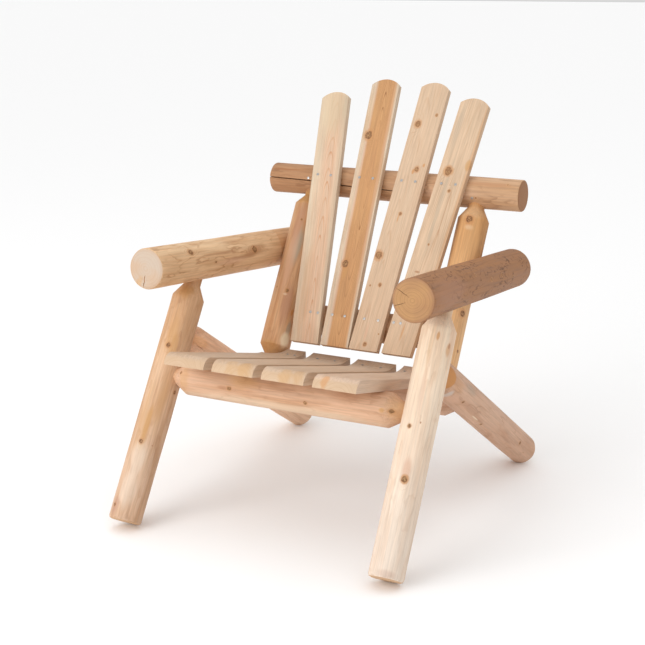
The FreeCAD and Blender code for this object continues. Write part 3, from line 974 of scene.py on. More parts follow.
@dataclass(frozen=True)
class PeeledLog:
    """One round log with its tenons, unevenness, knots and drying cracks."""

    node: str
    slot: str
    finish: WoodFinish
    seed: float
    knots: tuple[Knot, ...] = ()
    checks: tuple[Check, ...] = ()
    stains: tuple[Stain, ...] = ()
    low_tint: Colour = WHITE
    # the far-end tint also paints shade: on the left back post it darkens the top under the armrest
    high_tint_and_shade: Colour = WHITE
    sides: int = 96
    ring_step: float = 0.0065
    edge: float = 0.0035
    point_angle: float = 30.0
    tenon_radius: float = 0.0195
    swell: float = 0.0030
    facet: float = 0.0011
    end_insets: int = 4

    def build(self) -> bpy.types.Object:
        """Turn, roughen and place the log, and dress it in its wood.

        Returns:
            The finished log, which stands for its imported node.
        """
        lie = measure_log(self.node)
        piece = self._turn(lie)
        self._roughen(piece)
        for knot in self.knots:
            self._raise_knot(piece, lie, knot)
        soften(piece, 32.0)
        for check in self.checks:
            self._open_check(piece, lie, check)
        settle(piece, lie.place)
        plane_feet(piece)
        dress(piece, self, lie, lie.place)
        return piece

    def _end(self, length: float) -> LogEnd:
        """How an end is finished, from how far the shaft stops short of it."""
        return LogEnd.POINTED if length > LEAST_TENON else LogEnd.SAWN

    def _profile(self, lie: Lie) -> list[tuple[float, float]]:
        """Draw the log's outline.

        Args:
            lie: how the log lies.

        Returns:
            Steps of height and radius from its start.
        """
        taper = (lie.radius - self.tenon_radius) / math.tan(math.radians(self.point_angle))
        low, high = lie.shaft
        ease = self.edge
        if self._end(low) is LogEnd.POINTED:
            steps = [(0.0, self.tenon_radius), (low - taper, self.tenon_radius)]
            steps.append((low, lie.radius))
        else:
            steps = [(0.0, lie.radius - ease), (ease * EASE_STEP, lie.radius - ease * EASE_STEP)]
            steps.append((ease, lie.radius))
        if self._end(lie.length - high) is LogEnd.POINTED:
            steps.append((high, lie.radius))
            steps += [(high + taper, self.tenon_radius), (lie.length, self.tenon_radius)]
        else:
            steps.append((lie.length - ease, lie.radius))
            steps.append((lie.length - ease * EASE_STEP, lie.radius - ease * EASE_STEP))
            steps.append((lie.length, lie.radius - ease))
        return [step for step in steps if 0.0 <= step[0] <= lie.length]

    def _turn(self, lie: Lie) -> bpy.types.Object:
        """Turn the log along +Z from the origin, one extrusion for each step of its outline.

        Args:
            lie: how the log lies.

        Returns:
            The turned log, in its own frame.
        """
        steps = self._profile(lie)
        (low, radius), (high, upper) = steps[:2]
        bpy.ops.object.select_all(action="DESELECT")
        bpy.ops.mesh.primitive_cylinder_add(vertices=self.sides, radius=radius, depth=high - low,
                                            location=(0.0, 0.0, (low + high) / 2))
        piece = bpy.context.view_layer.objects.active
        piece.name = self.node + "_log"
        settle(piece, piece.matrix_world.copy())
        with editing(piece):
            pick_faces(piece, lambda middle, normal: normal.z > SQUARE_ON)
            scale = upper / radius
            bpy.ops.transform.resize(value=(scale, scale, 1.0), center_override=(0.0, 0.0, high))
            for (height, before), (top, after) in zip(steps[1:], steps[2:]):
                bpy.ops.mesh.extrude_region_move(
                    TRANSFORM_OT_translate={"value": (0.0, 0.0, top - height)})
                scale = after / before
                bpy.ops.transform.resize(value=(scale, scale, 1.0),
                                         center_override=(0.0, 0.0, top))
            for _ in range(self.end_insets):
                pick_faces(piece, lambda middle, normal: abs(normal.z) > SQUARE_ON
                           and middle.xy.length < 0.001)
                bpy.ops.mesh.inset(thickness=steps[0][1] / (self.end_insets + 2), use_individual=True)
            pick_faces(piece, lambda middle, normal: abs(normal.z) > SQUARE_ON
                       and middle.xy.length < 0.001)
            bpy.ops.mesh.poke()
        with editing(piece, "EDGE"):
            for (low, _), (high, _) in zip(steps, steps[1:]):
                cuts = min(100, round((high - low) / self.ring_step) - 1)
                if cuts < 1:
                    continue
                bpy.ops.mesh.select_all(action="DESELECT")
                pick_edges(piece, lambda a, b: abs(abs(a.z - b.z) - (high - low)) < 1e-5
                           and abs(a.z + b.z - low - high) < 1e-5)
                bpy.ops.mesh.subdivide(number_cuts=cuts)
        return piece

    def _roughen(self, piece: bpy.types.Object) -> None:
        """Make the round shape uneven: slow swells along the log, and the shaves of peeling.

        Args:
            piece: the log, in its own frame.
        """
        layers = (("swell", 0.16, 3.5, self.swell), ("facet", 0.034, 5.0, self.facet),
                  ("shave", 0.012, 9.0, self.facet * 0.35))
        guides = []
        for title, size, stretch, strength in layers:
            guide = bpy.data.objects.new("guide", None)
            bpy.context.scene.collection.objects.link(guide)
            guide.location = (self.seed * 0.7, self.seed * 1.3, self.seed * 2.1)
            guide.scale = (1.0, 1.0, stretch)
            guides.append(guide)
            texture = bpy.data.textures.new(title, "CLOUDS")
            texture.noise_scale = size
            texture.noise_depth = 1
            modifier = piece.modifiers.new(title, "DISPLACE")
            modifier.texture = texture
            modifier.texture_coords = "OBJECT"
            modifier.texture_coords_object = guide
            modifier.strength = strength
            modifier.mid_level = 0.5
        bpy.context.view_layer.update()
        apply_modifiers(piece)
        for guide in guides:
            bpy.data.objects.remove(guide)

    def spot(self, lie: Lie, mark: Knot | Stain) -> Spot:
        """Find the middle of a knot or a stain in the log's own frame.

        Args:
            lie: how the log lies.
            mark: the knot or the stain.

        Returns:
            Its middle, and the way out of the wood there.
        """
        turn = math.radians(mark.round_by)
        outward = Vector((math.sin(turn), math.cos(turn), 0.0))
        return Spot(outward * lie.radius + Vector((0.0, 0.0, mark.height)), outward)

    def _raise_knot(self, piece: bpy.types.Object, lie: Lie, knot: Knot) -> None:
        """Swell the wood round a knot, where the peeling knife rode over it.

        Args:
            piece: the log, in its own frame.
            lie: how it lies.
            knot: the knot.
        """
        place = self.spot(lie, knot)
        with editing(piece, "VERT"):
            mesh = bmesh.from_edit_mesh(piece.data)
            nearest = min(mesh.verts, key=lambda v: (v.co - place.middle).length_squared)
            nearest.select_set(True)
            bmesh.update_edit_mesh(piece.data)
            bpy.ops.transform.translate(value=place.outward * knot.proud * 2.0,
                                        use_proportional_edit=True,
                                        proportional_edit_falloff="SMOOTH",
                                        proportional_size=knot.radius * KNOT_SWELL)

    def _open_check(self, piece: bpy.types.Object, lie: Lie, check: Check) -> None:
        """Cut one drying crack, along the log's side or across its sawn end.

        Args:
            piece: the log, in its own frame.
            lie: how it lies.
            check: the crack.
        """
        turn = math.radians(check.round_by)
        outward = Vector((math.sin(turn), math.cos(turn), 0.0))
        if check.height == Check.LOW_END:
            middle = outward * (lie.radius - check.length / 2)
            self._cut(piece, middle, outward, UP, check)
        else:
            middle = outward * check.reach + Vector((0.0, 0.0, check.height))
            across = UP.cross(outward)
            run = (UP + outward * check.slope + across * check.lean).normalized()
            self._cut(piece, middle, run, outward, check)

    def _cut(self, piece: bpy.types.Object, middle: Vector, run: Vector, down: Vector,
             check: Check) -> None:
        """Cut a crack that is widest at its middle and closes at both ends.

        Args:
            piece: the log, in its own frame.
            middle: the crack's middle, on the surface.
            run: the way the crack runs.
            down: the way it goes into the wood.
            check: the crack's sizes.
        """
        bpy.ops.object.select_all(action="DESELECT")
        bpy.ops.mesh.primitive_cylinder_add(vertices=4, radius=1.0, depth=2.0)
        blade = bpy.context.view_layer.objects.active
        with editing(blade, "EDGE"):
            pick_edges(blade, lambda a, b: abs(a.z - b.z) > 1.0)
            bpy.ops.mesh.subdivide(number_cuts=11)
        for corner in blade.data.vertices:
            taper = math.sqrt(max(0.01, 1.0 - corner.co.z ** 2))
            weave = 0.7 * math.sin(corner.co.z * 7.0 + self.seed) + 0.3 * math.sin(corner.co.z * 19.0)
            corner.co.x = corner.co.x * taper + weave * check.weave
            corner.co.y = corner.co.y * max(taper, 0.3)
        across = down.cross(run).normalized()
        turned = Matrix((across * check.width / 2, down * check.depth,
                         run * check.length / 2)).transposed().to_4x4()
        settle(blade, Matrix.Translation(middle) @ turned)
        modifier = piece.modifiers.new("check", "BOOLEAN")
        modifier.operation = "DIFFERENCE"
        modifier.object = blade
        apply_modifiers(piece)
        bpy.data.objects.remove(blade)


# ---------------------------------------------------------------- boards
@dataclass(frozen=True)
class SawnBoard:
    """One planed board with eased edges.

    pith_depth is how far under its broad face the tree's pith ran, and pith_shift how far to one
    side.
    """

    node: str
    slot: str
    finish: WoodFinish
    seed: float
    knots: tuple[Knot, ...] = ()
    stains: tuple[Stain, ...] = ()
    low_tint: Colour = WHITE
    high_tint_and_shade: Colour = WHITE
    pith_depth: float = 0.060
    pith_shift: float = 0.0
    edge: float = 0.0016
    edge_steps: int = 3
    edge_angle: float = 28.0
    flat_angle: float = 1.0

    def build(self) -> bpy.types.Object:
        """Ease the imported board's edges and dress it in its wood.

        Returns:
            The finished board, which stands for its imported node.
        """
        lie = measure_board(self.node)
        choose(frame["nodes"][self.node])
        bpy.ops.object.duplicate()
        piece = bpy.context.view_layer.objects.active
        for key in list(piece.keys()):
            del piece[key]
        piece.parent = None
        piece.name = self.node + "_board"
        with editing(piece, "VERT"):
            bpy.ops.mesh.select_all(action="SELECT")
            bpy.ops.mesh.remove_doubles(threshold=WELD_GAP)
            bpy.ops.mesh.dissolve_limited(angle_limit=math.radians(self.flat_angle))
        bevel = piece.modifiers.new("eased", "BEVEL")
        bevel.width = self.edge
        bevel.segments = self.edge_steps
        bevel.limit_method = "ANGLE"
        bevel.angle_limit = math.radians(self.edge_angle)
        apply_modifiers(piece)
        soften(piece, 34.0)
        dress(piece, self, lie, self._pith(lie))
        return piece

    def _pith(self, lie: Lie) -> Matrix:
        """Find the pith that the board's rings grew round.

        Args:
            lie: how the board lies.

        Returns:
            The pith's frame.
        """
        shift = Vector((self.pith_shift, lie.half_depth - self.pith_depth, 0.0))
        return lie.place @ Matrix.Translation(shift)

    def spot(self, lie: Lie, mark: Knot | Stain) -> Spot:
        """Find the middle of a knot or a stain on the board's broad face.

        Args:
            lie: how the board lies.
            mark: the knot or the stain.

        Returns:
            Its middle and the way out of the wood there, in the pith's frame.
        """
        face = lie.place @ Vector((mark.round_by / 1000.0, lie.half_depth, mark.height))
        middle = self._pith(lie).inverted() @ face
        return Spot(middle, Vector((0.0, 1.0, 0.0)))


# ---------------------------------------------------------------- the chair's groups
@dataclass(frozen=True)
class Frame:
    """The log frame: legs, armrests, posts and rails."""

    logs: tuple[PeeledLog, ...]

    def build(self) -> list[bpy.types.Object]:
        """Build every log of the frame."""
        return [log_piece.build() for log_piece in self.logs]


@dataclass(frozen=True)
class Boards:
    """The boards of the seat or of the back."""

    boards: tuple[SawnBoard, ...]

    def build(self) -> list[bpy.types.Object]:
        """Build every board."""
        return [board.build() for board in self.boards]


@dataclass(frozen=True)
class Steel:
    """Zinc-plated steel for the screws."""

    colour: Colour = (0.56, 0.54, 0.52)
    roughness: float = 0.38

    def mix(self) -> bpy.types.Material:
        """Make the metal.

        Returns:
            The finished material.
        """
        made = Recipe("zinc_steel")
        where = made.add("ShaderNodeTexCoord").outputs["Object"]
        wear = made.noise(where, Pace.STEEL_WEAR, 2.0)
        tone = made.blend(made.remap(wear, 0.35, 0.65), self.colour,
                          tuple(part * 0.6 for part in self.colour))
        shader = made.add("ShaderNodeBsdfPrincipled")
        made.feed(shader.inputs["Base Color"], tone)
        shader.inputs["Metallic"].default_value = 1.0
        made.feed(shader.inputs["Roughness"],
                  made.remap(wear, 0.3, 0.7, self.roughness - 0.08, self.roughness + 0.15))
        made.feed(made.add("ShaderNodeOutputMaterial").inputs["Surface"], shader.outputs[0])
        return made.material


@dataclass(frozen=True)
class DeckScrews:
    """Countersunk screws with a square recess, one head for each packed screw."""

    node: str
    radius: float = 0.0034
    height: float = 0.0016
    rim: float = 0.0005
    recess: float = 0.0021
    recess_depth: float = 0.0013
    sides: int = 24
    taper: float = 0.55

    def build(self, metal: bpy.types.Material) -> bpy.types.Object:
        """Model one head and set a copy of it on each packed screw.

        Args:
            metal: the steel that the heads are made of.

        Returns:
            All the heads as one piece.
        """
        pattern = self._model()
        heads = []
        for place in self._places():
            head = bpy.data.objects.new(self.node + "_head", pattern.data.copy())
            bpy.context.scene.collection.objects.link(head)
            head.data.transform(place)
            heads.append(head)
        bpy.data.objects.remove(pattern)
        choose(heads[0])
        for head in heads:
            head.select_set(True)
        bpy.ops.object.join()
        heads[0].name = self.node + "_heads"
        heads[0].data.materials.clear()
        heads[0].data.materials.append(metal)
        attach(heads[0], BODY)
        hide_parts(self.node)
        return heads[0]

    def _model(self) -> bpy.types.Object:
        """Model one head, its top at the origin and looking along +Z.

        Returns:
            The head, which is copied for each screw.
        """
        bpy.ops.object.select_all(action="DESELECT")
        bpy.ops.mesh.primitive_cylinder_add(vertices=self.sides, radius=self.radius,
                                            depth=self.height,
                                            location=(0.0, 0.0, -self.height / 2))
        head = bpy.context.view_layer.objects.active
        settle(head, head.matrix_world.copy())
        with editing(head):
            pick_faces(head, lambda middle, normal: normal.z > SQUARE_ON)
            bpy.ops.mesh.bevel(offset=self.rim, segments=3)
            pick_faces(head, lambda middle, normal: normal.z < -SQUARE_ON)
            bpy.ops.transform.resize(value=(self.taper, self.taper, 1.0),
                                     center_override=(0.0, 0.0, -self.height))
        bpy.ops.mesh.primitive_cylinder_add(vertices=4, radius=self.recess * HALF_DIAGONAL,
                                            depth=2 * self.recess_depth)
        punch = bpy.context.view_layer.objects.active
        modifier = head.modifiers.new("recess", "BOOLEAN")
        modifier.operation = "DIFFERENCE"
        modifier.object = punch
        apply_modifiers(head)
        bpy.data.objects.remove(punch)
        soften(head, 40.0)
        return head

    def _places(self) -> list[Matrix]:
        """Find every packed screw's head.

        Returns:
            The frame of each head, its top's middle with Z out of the wood, in a fixed order.
        """
        mesh = bmesh.new()
        mesh.from_mesh(frame["nodes"][self.node].data)
        bmesh.ops.remove_doubles(mesh, verts=mesh.verts, dist=WELD_GAP)
        places = []
        waiting = set(mesh.verts)
        while waiting:
            screw = [waiting.pop()]
            for corner in screw:
                for edge in corner.link_edges:
                    other = edge.other_vert(corner)
                    if other in waiting:
                        waiting.remove(other)
                        screw.append(other)
            places.append(self._head_place(np.array([corner.co for corner in screw])))
        mesh.free()
        return sorted(places, key=lambda place: tuple(place.translation))

    @staticmethod
    def _head_place(corners: np.ndarray) -> Matrix:
        """Find one screw's head, which is its thick end.

        Args:
            corners: the screw's corners as rows.

        Returns:
            The head's frame.
        """
        middle = corners.mean(0)
        run = np.linalg.svd(corners - middle)[2][0]
        heights = (corners - middle) @ run
        reach = np.linalg.norm(corners - middle - np.outer(heights, run), axis=1)
        if heights[reach.argmax()] < 0:
            run, heights = -run, -heights
        rim = corners[reach > 0.9 * reach.max()].mean(0)
        top = Vector(rim + run * (heights.max() - (rim - middle) @ run))
        return Matrix.Translation(top) @ Vector(run).to_track_quat("Z", "Y").to_matrix().to_4x4()


# ---------------------------------------------------------------- studio
@dataclass(frozen=True)
class Studio:
    """The floor, the light and the camera."""

    azimuth: float = 27.77
    elevation: float = 14.86
    roll: float = 0.247
    distance: float = 3.0952
    aim: Vector = Vector((0.0, -0.0606, 0.4435))
    lens: float = 74.77
    sensor: float = 36.0
    floor_size: float = 90.0
    floor_drop: float = 0.0003
    surround: float = 0.68
    key_place: Vector = Vector((-1.5, -3.3, 1.7))
    key_size: float = 2.4
    key_power: float = 68.0
    ceiling_strength: float = 1.0
    ceiling_spread: float = 100.0

    def build(self) -> None:
        """Set up everything that isn't part of the chair."""
        self._lay_floor()
        self._light()
        self._place_camera()

    def _lay_floor(self) -> None:
        """A plain pale floor."""
        bpy.ops.object.select_all(action="DESELECT")
        bpy.ops.mesh.primitive_plane_add(size=self.floor_size,
                                         location=(0.0, 0.0, -self.floor_drop))
        floor = bpy.context.view_layer.objects.active
        floor.name = "studio_floor"
        made = Recipe("studio_floor")
        shader = made.add("ShaderNodeBsdfPrincipled")
        shader.inputs["Base Color"].default_value = (0.96, 0.96, 0.96, 1.0)
        shader.inputs["Roughness"].default_value = 0.9
        shader.inputs["Specular IOR Level"].default_value = 0.1
        made.feed(made.add("ShaderNodeOutputMaterial").inputs["Surface"], shader.outputs[0])
        floor.data.materials.append(made.material)

    def _light(self) -> None:
        """Soft light from the front left and above, and a white surround."""
        world = bpy.data.worlds.new("studio")
        world.use_nodes = True
        background = world.node_tree.nodes["Background"]
        background.inputs["Color"].default_value = (1.0, 1.0, 1.0, 1.0)
        background.inputs["Strength"].default_value = self.surround
        bpy.context.scene.world = world
        self._lamp("key", self.key_place, self.key_size, self.key_power)
        self._ceiling(self.ceiling_strength, self.ceiling_spread)

    def _lamp(self, name: str, place: Vector, size: float, power: float) -> None:
        """Hang one square soft light that looks at the chair.

        Args:
            name: the light's name.
            place: where it hangs.
            size: its side in metres.
            power: its power in watts.
        """
        data = bpy.data.lights.new(name, "AREA")
        data.shape = "SQUARE"
        data.size = size
        data.energy = power
        lamp = bpy.data.objects.new(name, data)
        bpy.context.scene.collection.objects.link(lamp)
        lamp.location = place
        lamp.rotation_euler = (self.aim - place).to_track_quat("-Z", "Y").to_euler()

    def _ceiling(self, strength: float, spread: float) -> None:
        """Light everything evenly from above, as a wide pale ceiling does.

        Args:
            strength: how strong the light is.
            spread: how wide the ceiling looks from the floor, in degrees.
        """
        data = bpy.data.lights.new("ceiling", "SUN")
        data.energy = strength
        data.angle = math.radians(spread)
        ceiling = bpy.data.objects.new("ceiling", data)
        bpy.context.scene.collection.objects.link(ceiling)

    def _place_camera(self) -> None:
        """A camera in front of the chair, to the right of its middle."""
        data = bpy.data.cameras.new("camera")
        data.sensor_width = self.sensor
        data.lens = self.lens
        camera = bpy.data.objects.new("camera", data)
        bpy.context.scene.collection.objects.link(camera)
        turn, rise = math.radians(self.azimuth), math.radians(self.elevation)
        back = Vector((math.sin(turn) * math.cos(rise), -math.cos(turn) * math.cos(rise),
                       math.sin(rise)))
        right = (-back).cross(UP).normalized()
        frame_matrix = Matrix((right, back.cross(right), back)).transposed().to_4x4()
        rolled = frame_matrix @ Matrix.Rotation(math.radians(-self.roll), 4, "Z")
        camera.matrix_world = Matrix.Translation(self.aim + back * self.distance) @ rolled
        bpy.context.scene.camera = camera


# Colours of the patches that weather, bark and branches leave on the wood.
CREAM: Colour = (0.82, 0.70, 0.52)
GOLDEN: Colour = (0.56, 0.30, 0.10)
ORANGE: Colour = (0.56, 0.26, 0.09)
RUST: Colour = (0.36, 0.15, 0.06)
PINK: Colour = (0.66, 0.40, 0.27)
MAUVE: Colour = (0.46, 0.24, 0.16)
BLUE_GREY: Colour = (0.40, 0.34, 0.26)
PALE_GREY: Colour = (0.58, 0.50, 0.44)
BARK: Colour = (0.14, 0.065, 0.03)

FRAME_LOGS = Frame((
    PeeledLog("left_front_leg", "leg_log", LEG_WOOD, 1.0,
              (Knot(0.415, -12, 0.0045), Knot(0.313, -84, 0.0035), Knot(0.184, -13, 0.0040),
               Knot(0.032, 22, 0.003), Knot(0.250, 150, 0.005), Knot(0.470, 120, 0.004)),
              stains=(Stain(0.453, -14, 0.009, 0.045, GOLDEN, 0.5, 0.6, 1.6),
                      Stain(0.410, -29, 0.009, 0.030, GOLDEN, 0.5, 0.5, 1.3),
                      Stain(0.550, -15, 0.020, 0.018, GOLDEN, 0.6, 0.5, 1.0),
                      Stain(0.215, -17, 0.007, 0.045, GOLDEN, 0.75, 0.5, 1.4),
                      Stain(0.285, -44, 0.012, 0.060, GOLDEN, 0.35, 0.6, 1.4),
                      Stain(0.250, 5, 0.010, 0.060, GOLDEN, 0.35, 0.6, 1.4),
                      Stain(0.180, -55, 0.0012, 0.0014, RUST, 0.8, 0.4, 0.3),
                      Stain(0.148, -19, 0.016, 0.034, CREAM, 0.45, 0.5, 0.8),
                      Stain(0.073, -16, 0.018, 0.040, CREAM, 0.40, 0.5, 0.8),
                      Stain(0.030, 20, 0.010, 0.020, MAUVE, 0.45, 0.5, 0.8)),
              low_tint=(0.92, 0.94, 1.06), high_tint_and_shade=(0.96, 0.92, 0.88), edge=0.0065),
    PeeledLog("right_front_leg", "leg_log", PALE_LEG_WOOD, 2.0,
              (Knot(0.319, 8, 0.0034), Knot(0.207, -13, 0.0055), Knot(0.120, 140, 0.005)),
              stains=(Stain(0.226, -13, 0.0085, 0.026, PINK, 0.75, 0.4, 0.4),
                      Stain(0.207, -13, 0.0080, 0.010, ORANGE, 0.65, 0.4, 0.3),
                      Stain(0.330, -25, 0.0016, 0.0024, RUST, 0.8, 0.3, 0.3),
                      Stain(0.520, -22, 0.0035, 0.009, ORANGE, 0.75, 0.4, 0.8),
                      Stain(0.497, -66, 0.0060, 0.014, ORANGE, 0.6, 0.4, 1.2),
                      Stain(0.505, -67, 0.0028, 0.006, RUST, 0.85, 0.4, 1.0),
                      Stain(0.528, -80, 0.0120, 0.045, PINK, 0.45, 0.5, 0.8),
                      Stain(0.400, -10, 0.0050, 0.060, PINK, 0.40, 0.5, 1.6),
                      Stain(0.490, -5, 0.0040, 0.040, GOLDEN, 0.25, 0.5, 1.6),
                      Stain(0.010, -20, 0.020, 0.008, MAUVE, 0.30, 0.5, 0.8)),
              low_tint=(0.92, 0.99, 1.08), high_tint_and_shade=(1.04, 1.06, 1.03), edge=0.0065),
    PeeledLog("left_rear_leg", "side_log", SIDE_WOOD, 3.0,
              (Knot(0.420, -40, 0.004), Knot(0.200, 60, 0.005)),
              (Check(0.662, 115, 0.048, reach=0.037, width=0.0026, depth=0.010, weave=0.5),),
              (Stain(0.656, 95, 0.012, 0.030, ORANGE, 0.45, 0.5, 1.0),),
              (1.28, 1.38, 1.40), (1.48, 1.56, 1.56)),
    PeeledLog("right_rear_leg", "side_log", SIDE_WOOD, 4.0,
              (Knot(0.547, 133, 0.0030), Knot(0.381, 152, 0.0025), Knot(0.128, 107, 0.0035),
               Knot(0.300, 0, 0.005)),
              stains=(Stain(0.674, 96, 0.036, 0.0300, ORANGE, 0.95, 0.03, 0.10),
                      Stain(0.624, 147, 0.014, 0.0100, PALE_GREY, 0.8, 0.4, 0.6),
                      Stain(0.590, 152, 0.014, 0.0300, PINK, 0.7, 0.5, 0.8),
                      Stain(0.620, 102, 0.016, 0.0300, ORANGE, 0.30, 0.5, 0.9),
                      Stain(0.431, 149, 0.0016, 0.020, CREAM, 0.7, 0.3, 0.8),
                      Stain(0.539, 80, 0.010, 0.030, BLUE_GREY, 0.35, 0.5, 0.9)),
              low_tint=(1.02, 1.02, 1.02)),
    PeeledLog("left_armrest", "arm_log", ARM_WOOD, 5.0,
              (Knot(0.122, -49, 0.0060), Knot(0.382, -72, 0.0070), Knot(0.211, -90, 0.0020),
               Knot(0.300, 60, 0.006)),
              (Check(Check.LOW_END, 172, 0.034, width=0.0022),),
              (Stain(0.251, -67, 0.0035, 0.075, RUST, 0.50, 0.6, 1.6),
               Stain(0.334, -88, 0.0040, 0.055, RUST, 0.60, 0.6, 1.6),
               Stain(0.395, -74, 0.013, 0.040, RUST, 0.45, 0.5, 1.4),
               Stain(0.286, -96, 0.0070, 0.050, PINK, 0.45, 0.6, 1.4),
               Stain(0.560, -72, 0.060, 0.052, ORANGE, 0.40, 0.04, 0.1),
               Stain(-0.0, 150, 0.008, 0.008, GOLDEN, 0.5, 0.5, 0.8)), edge=0.0055),
    PeeledLog("right_armrest", "arm_log", BROWN_ARM_WOOD, 6.0,
              (Knot(0.508, -91, 0.0030), Knot(0.265, -54, 0.0030), Knot(0.355, -80, 0.0035),
               Knot(0.430, -76, 0.0030), Knot(0.150, 70, 0.005)),
              (Check(Check.LOW_END, 60, 0.036, width=0.0010),
               Check(Check.LOW_END, 110, 0.030, width=0.0009)),
              (Stain(0.508, -91, 0.0110, 0.0050, BARK, 0.80, 0.4, 1.0),
               Stain(0.100, -75, 0.030, 0.080, MAUVE, 0.30, 0.5, 1.0),
               Stain(0.020, -100, 0.020, 0.018, RUST, 0.40, 0.5, 1.0)), edge=0.004),
    PeeledLog("left_back_post", "post_log", LEFT_POST_WOOD, 7.0,
              (Knot(0.228, 27, 0.0018), Knot(0.221, -23, 0.0035), Knot(0.411, -9, 0.0022)),
              stains=(Stain(0.342, -19, 0.0100, 0.045, BLUE_GREY, 0.85, 0.5, 0.9),
                      Stain(0.305, -2, 0.0110, 0.085, PINK, 0.65, 0.5, 0.8),
                      Stain(0.400, 0, 0.0120, 0.050, MAUVE, 0.45, 0.5, 0.9),
                      Stain(0.187, -32, 0.0110, 0.050, MAUVE, 0.55, 0.5, 0.8),
                      Stain(0.211, -18, 0.0050, 0.003, CREAM, 0.40, 0.5, 0.9),
                      Stain(0.170, -62, 0.0040, 0.008, ORANGE, 0.85, 0.3, 0.5),
                      Stain(0.128, -64, 0.0060, 0.018, BLUE_GREY, 0.70, 0.4, 0.8),
                      Stain(0.097, -60, 0.0120, 0.018, CREAM, 0.90, 0.4, 0.7),
                      Stain(0.074, 10, 0.0300, 0.014, GOLDEN, 0.55, 0.4, 0.6),
                      Stain(0.476, 5, 0.0400, 0.020, GOLDEN, 0.65, 0.3, 0.5)),
              # the darker top (far-end tint) is painted shade under the left armrest
              low_tint=(1.15, 1.14, 1.10), high_tint_and_shade=(0.80, 0.76, 0.70), point_angle=36.0),
    PeeledLog("right_back_post", "post_log", POST_WOOD, 8.0,
              (Knot(0.450, -6, 0.0070), Knot(0.220, -57, 0.0060), Knot(0.130, -75, 0.003)),
              stains=(Stain(0.430, -10, 0.0100, 0.006, CREAM, 0.28, 0.6, 0.9),
                      Stain(0.474, -6, 0.0300, 0.018, CREAM, 0.20, 0.5, 0.8)),
              low_tint=(1.42, 1.60, 2.00), high_tint_and_shade=(0.94, 0.85, 0.78), point_angle=31.0),
    PeeledLog("upper_back_rail", "rail_log", RAIL_WOOD, 9.0,
              (Knot(0.651, -42, 0.0020), Knot(0.575, -100, 0.002), Knot(0.200, 80, 0.004)),
              (Check(0.160, -88, 0.560, reach=0.0386, width=0.0034, depth=0.016, lean=0.040),),
              (Stain(0.046, -44, 0.0030, 0.040, RUST, 0.6, 0.5, 1.2),
               Stain(0.608, -46, 0.0060, 0.050, RUST, 0.45, 0.5, 1.4),
               Stain(0.500, -95, 0.0120, 0.060, PINK, 0.35, 0.5, 1.0)),
              (0.90, 0.83, 0.75), (1.30, 1.45, 1.62)),
    PeeledLog("lower_back_rail", "rail_log", RAIL_WOOD, 10.0, (Knot(0.200, 100, 0.004),)),
    PeeledLog("front_seat_rail", "side_log", FRONT_RAIL_WOOD, 11.0,
              (Knot(0.208, -83, 0.0038), Knot(0.402, -90, 0.003), Knot(0.605, -74, 0.0045),
               Knot(0.072, -54, 0.0030), Knot(0.300, 95, 0.005)),
              (Check(0.619, -101, 0.030, reach=0.033, slope=0.55, width=0.0016, depth=0.006),),
              (Stain(0.585, -75, 0.0050, 0.006, GOLDEN, 0.70, 0.4, 0.8),
               Stain(0.620, -60, 0.0250, 0.025, GOLDEN, 0.40, 0.5, 0.9),
               Stain(0.632, -92, 0.0200, 0.018, RUST, 0.40, 0.5, 0.9),
               Stain(0.242, -51, 0.0150, 0.035, GOLDEN, 0.45, 0.5, 1.2),
               Stain(0.338, -51, 0.0120, 0.030, RUST, 0.35, 0.5, 1.2),
               Stain(0.494, -46, 0.0150, 0.035, RUST, 0.30, 0.5, 1.2),
               Stain(0.190, -83, 0.0040, 0.012, RUST, 0.40, 0.5, 1.2),
               Stain(0.320, -128, 0.0140, 0.230, CREAM, 0.35, 0.5, 0.9),
               Stain(0.085, -70, 0.0300, 0.012, GOLDEN, 0.35, 0.5, 0.9))),
    PeeledLog("rear_seat_rail", "side_log", SIDE_WOOD, 12.0, (Knot(0.420, 60, 0.005),)),
))
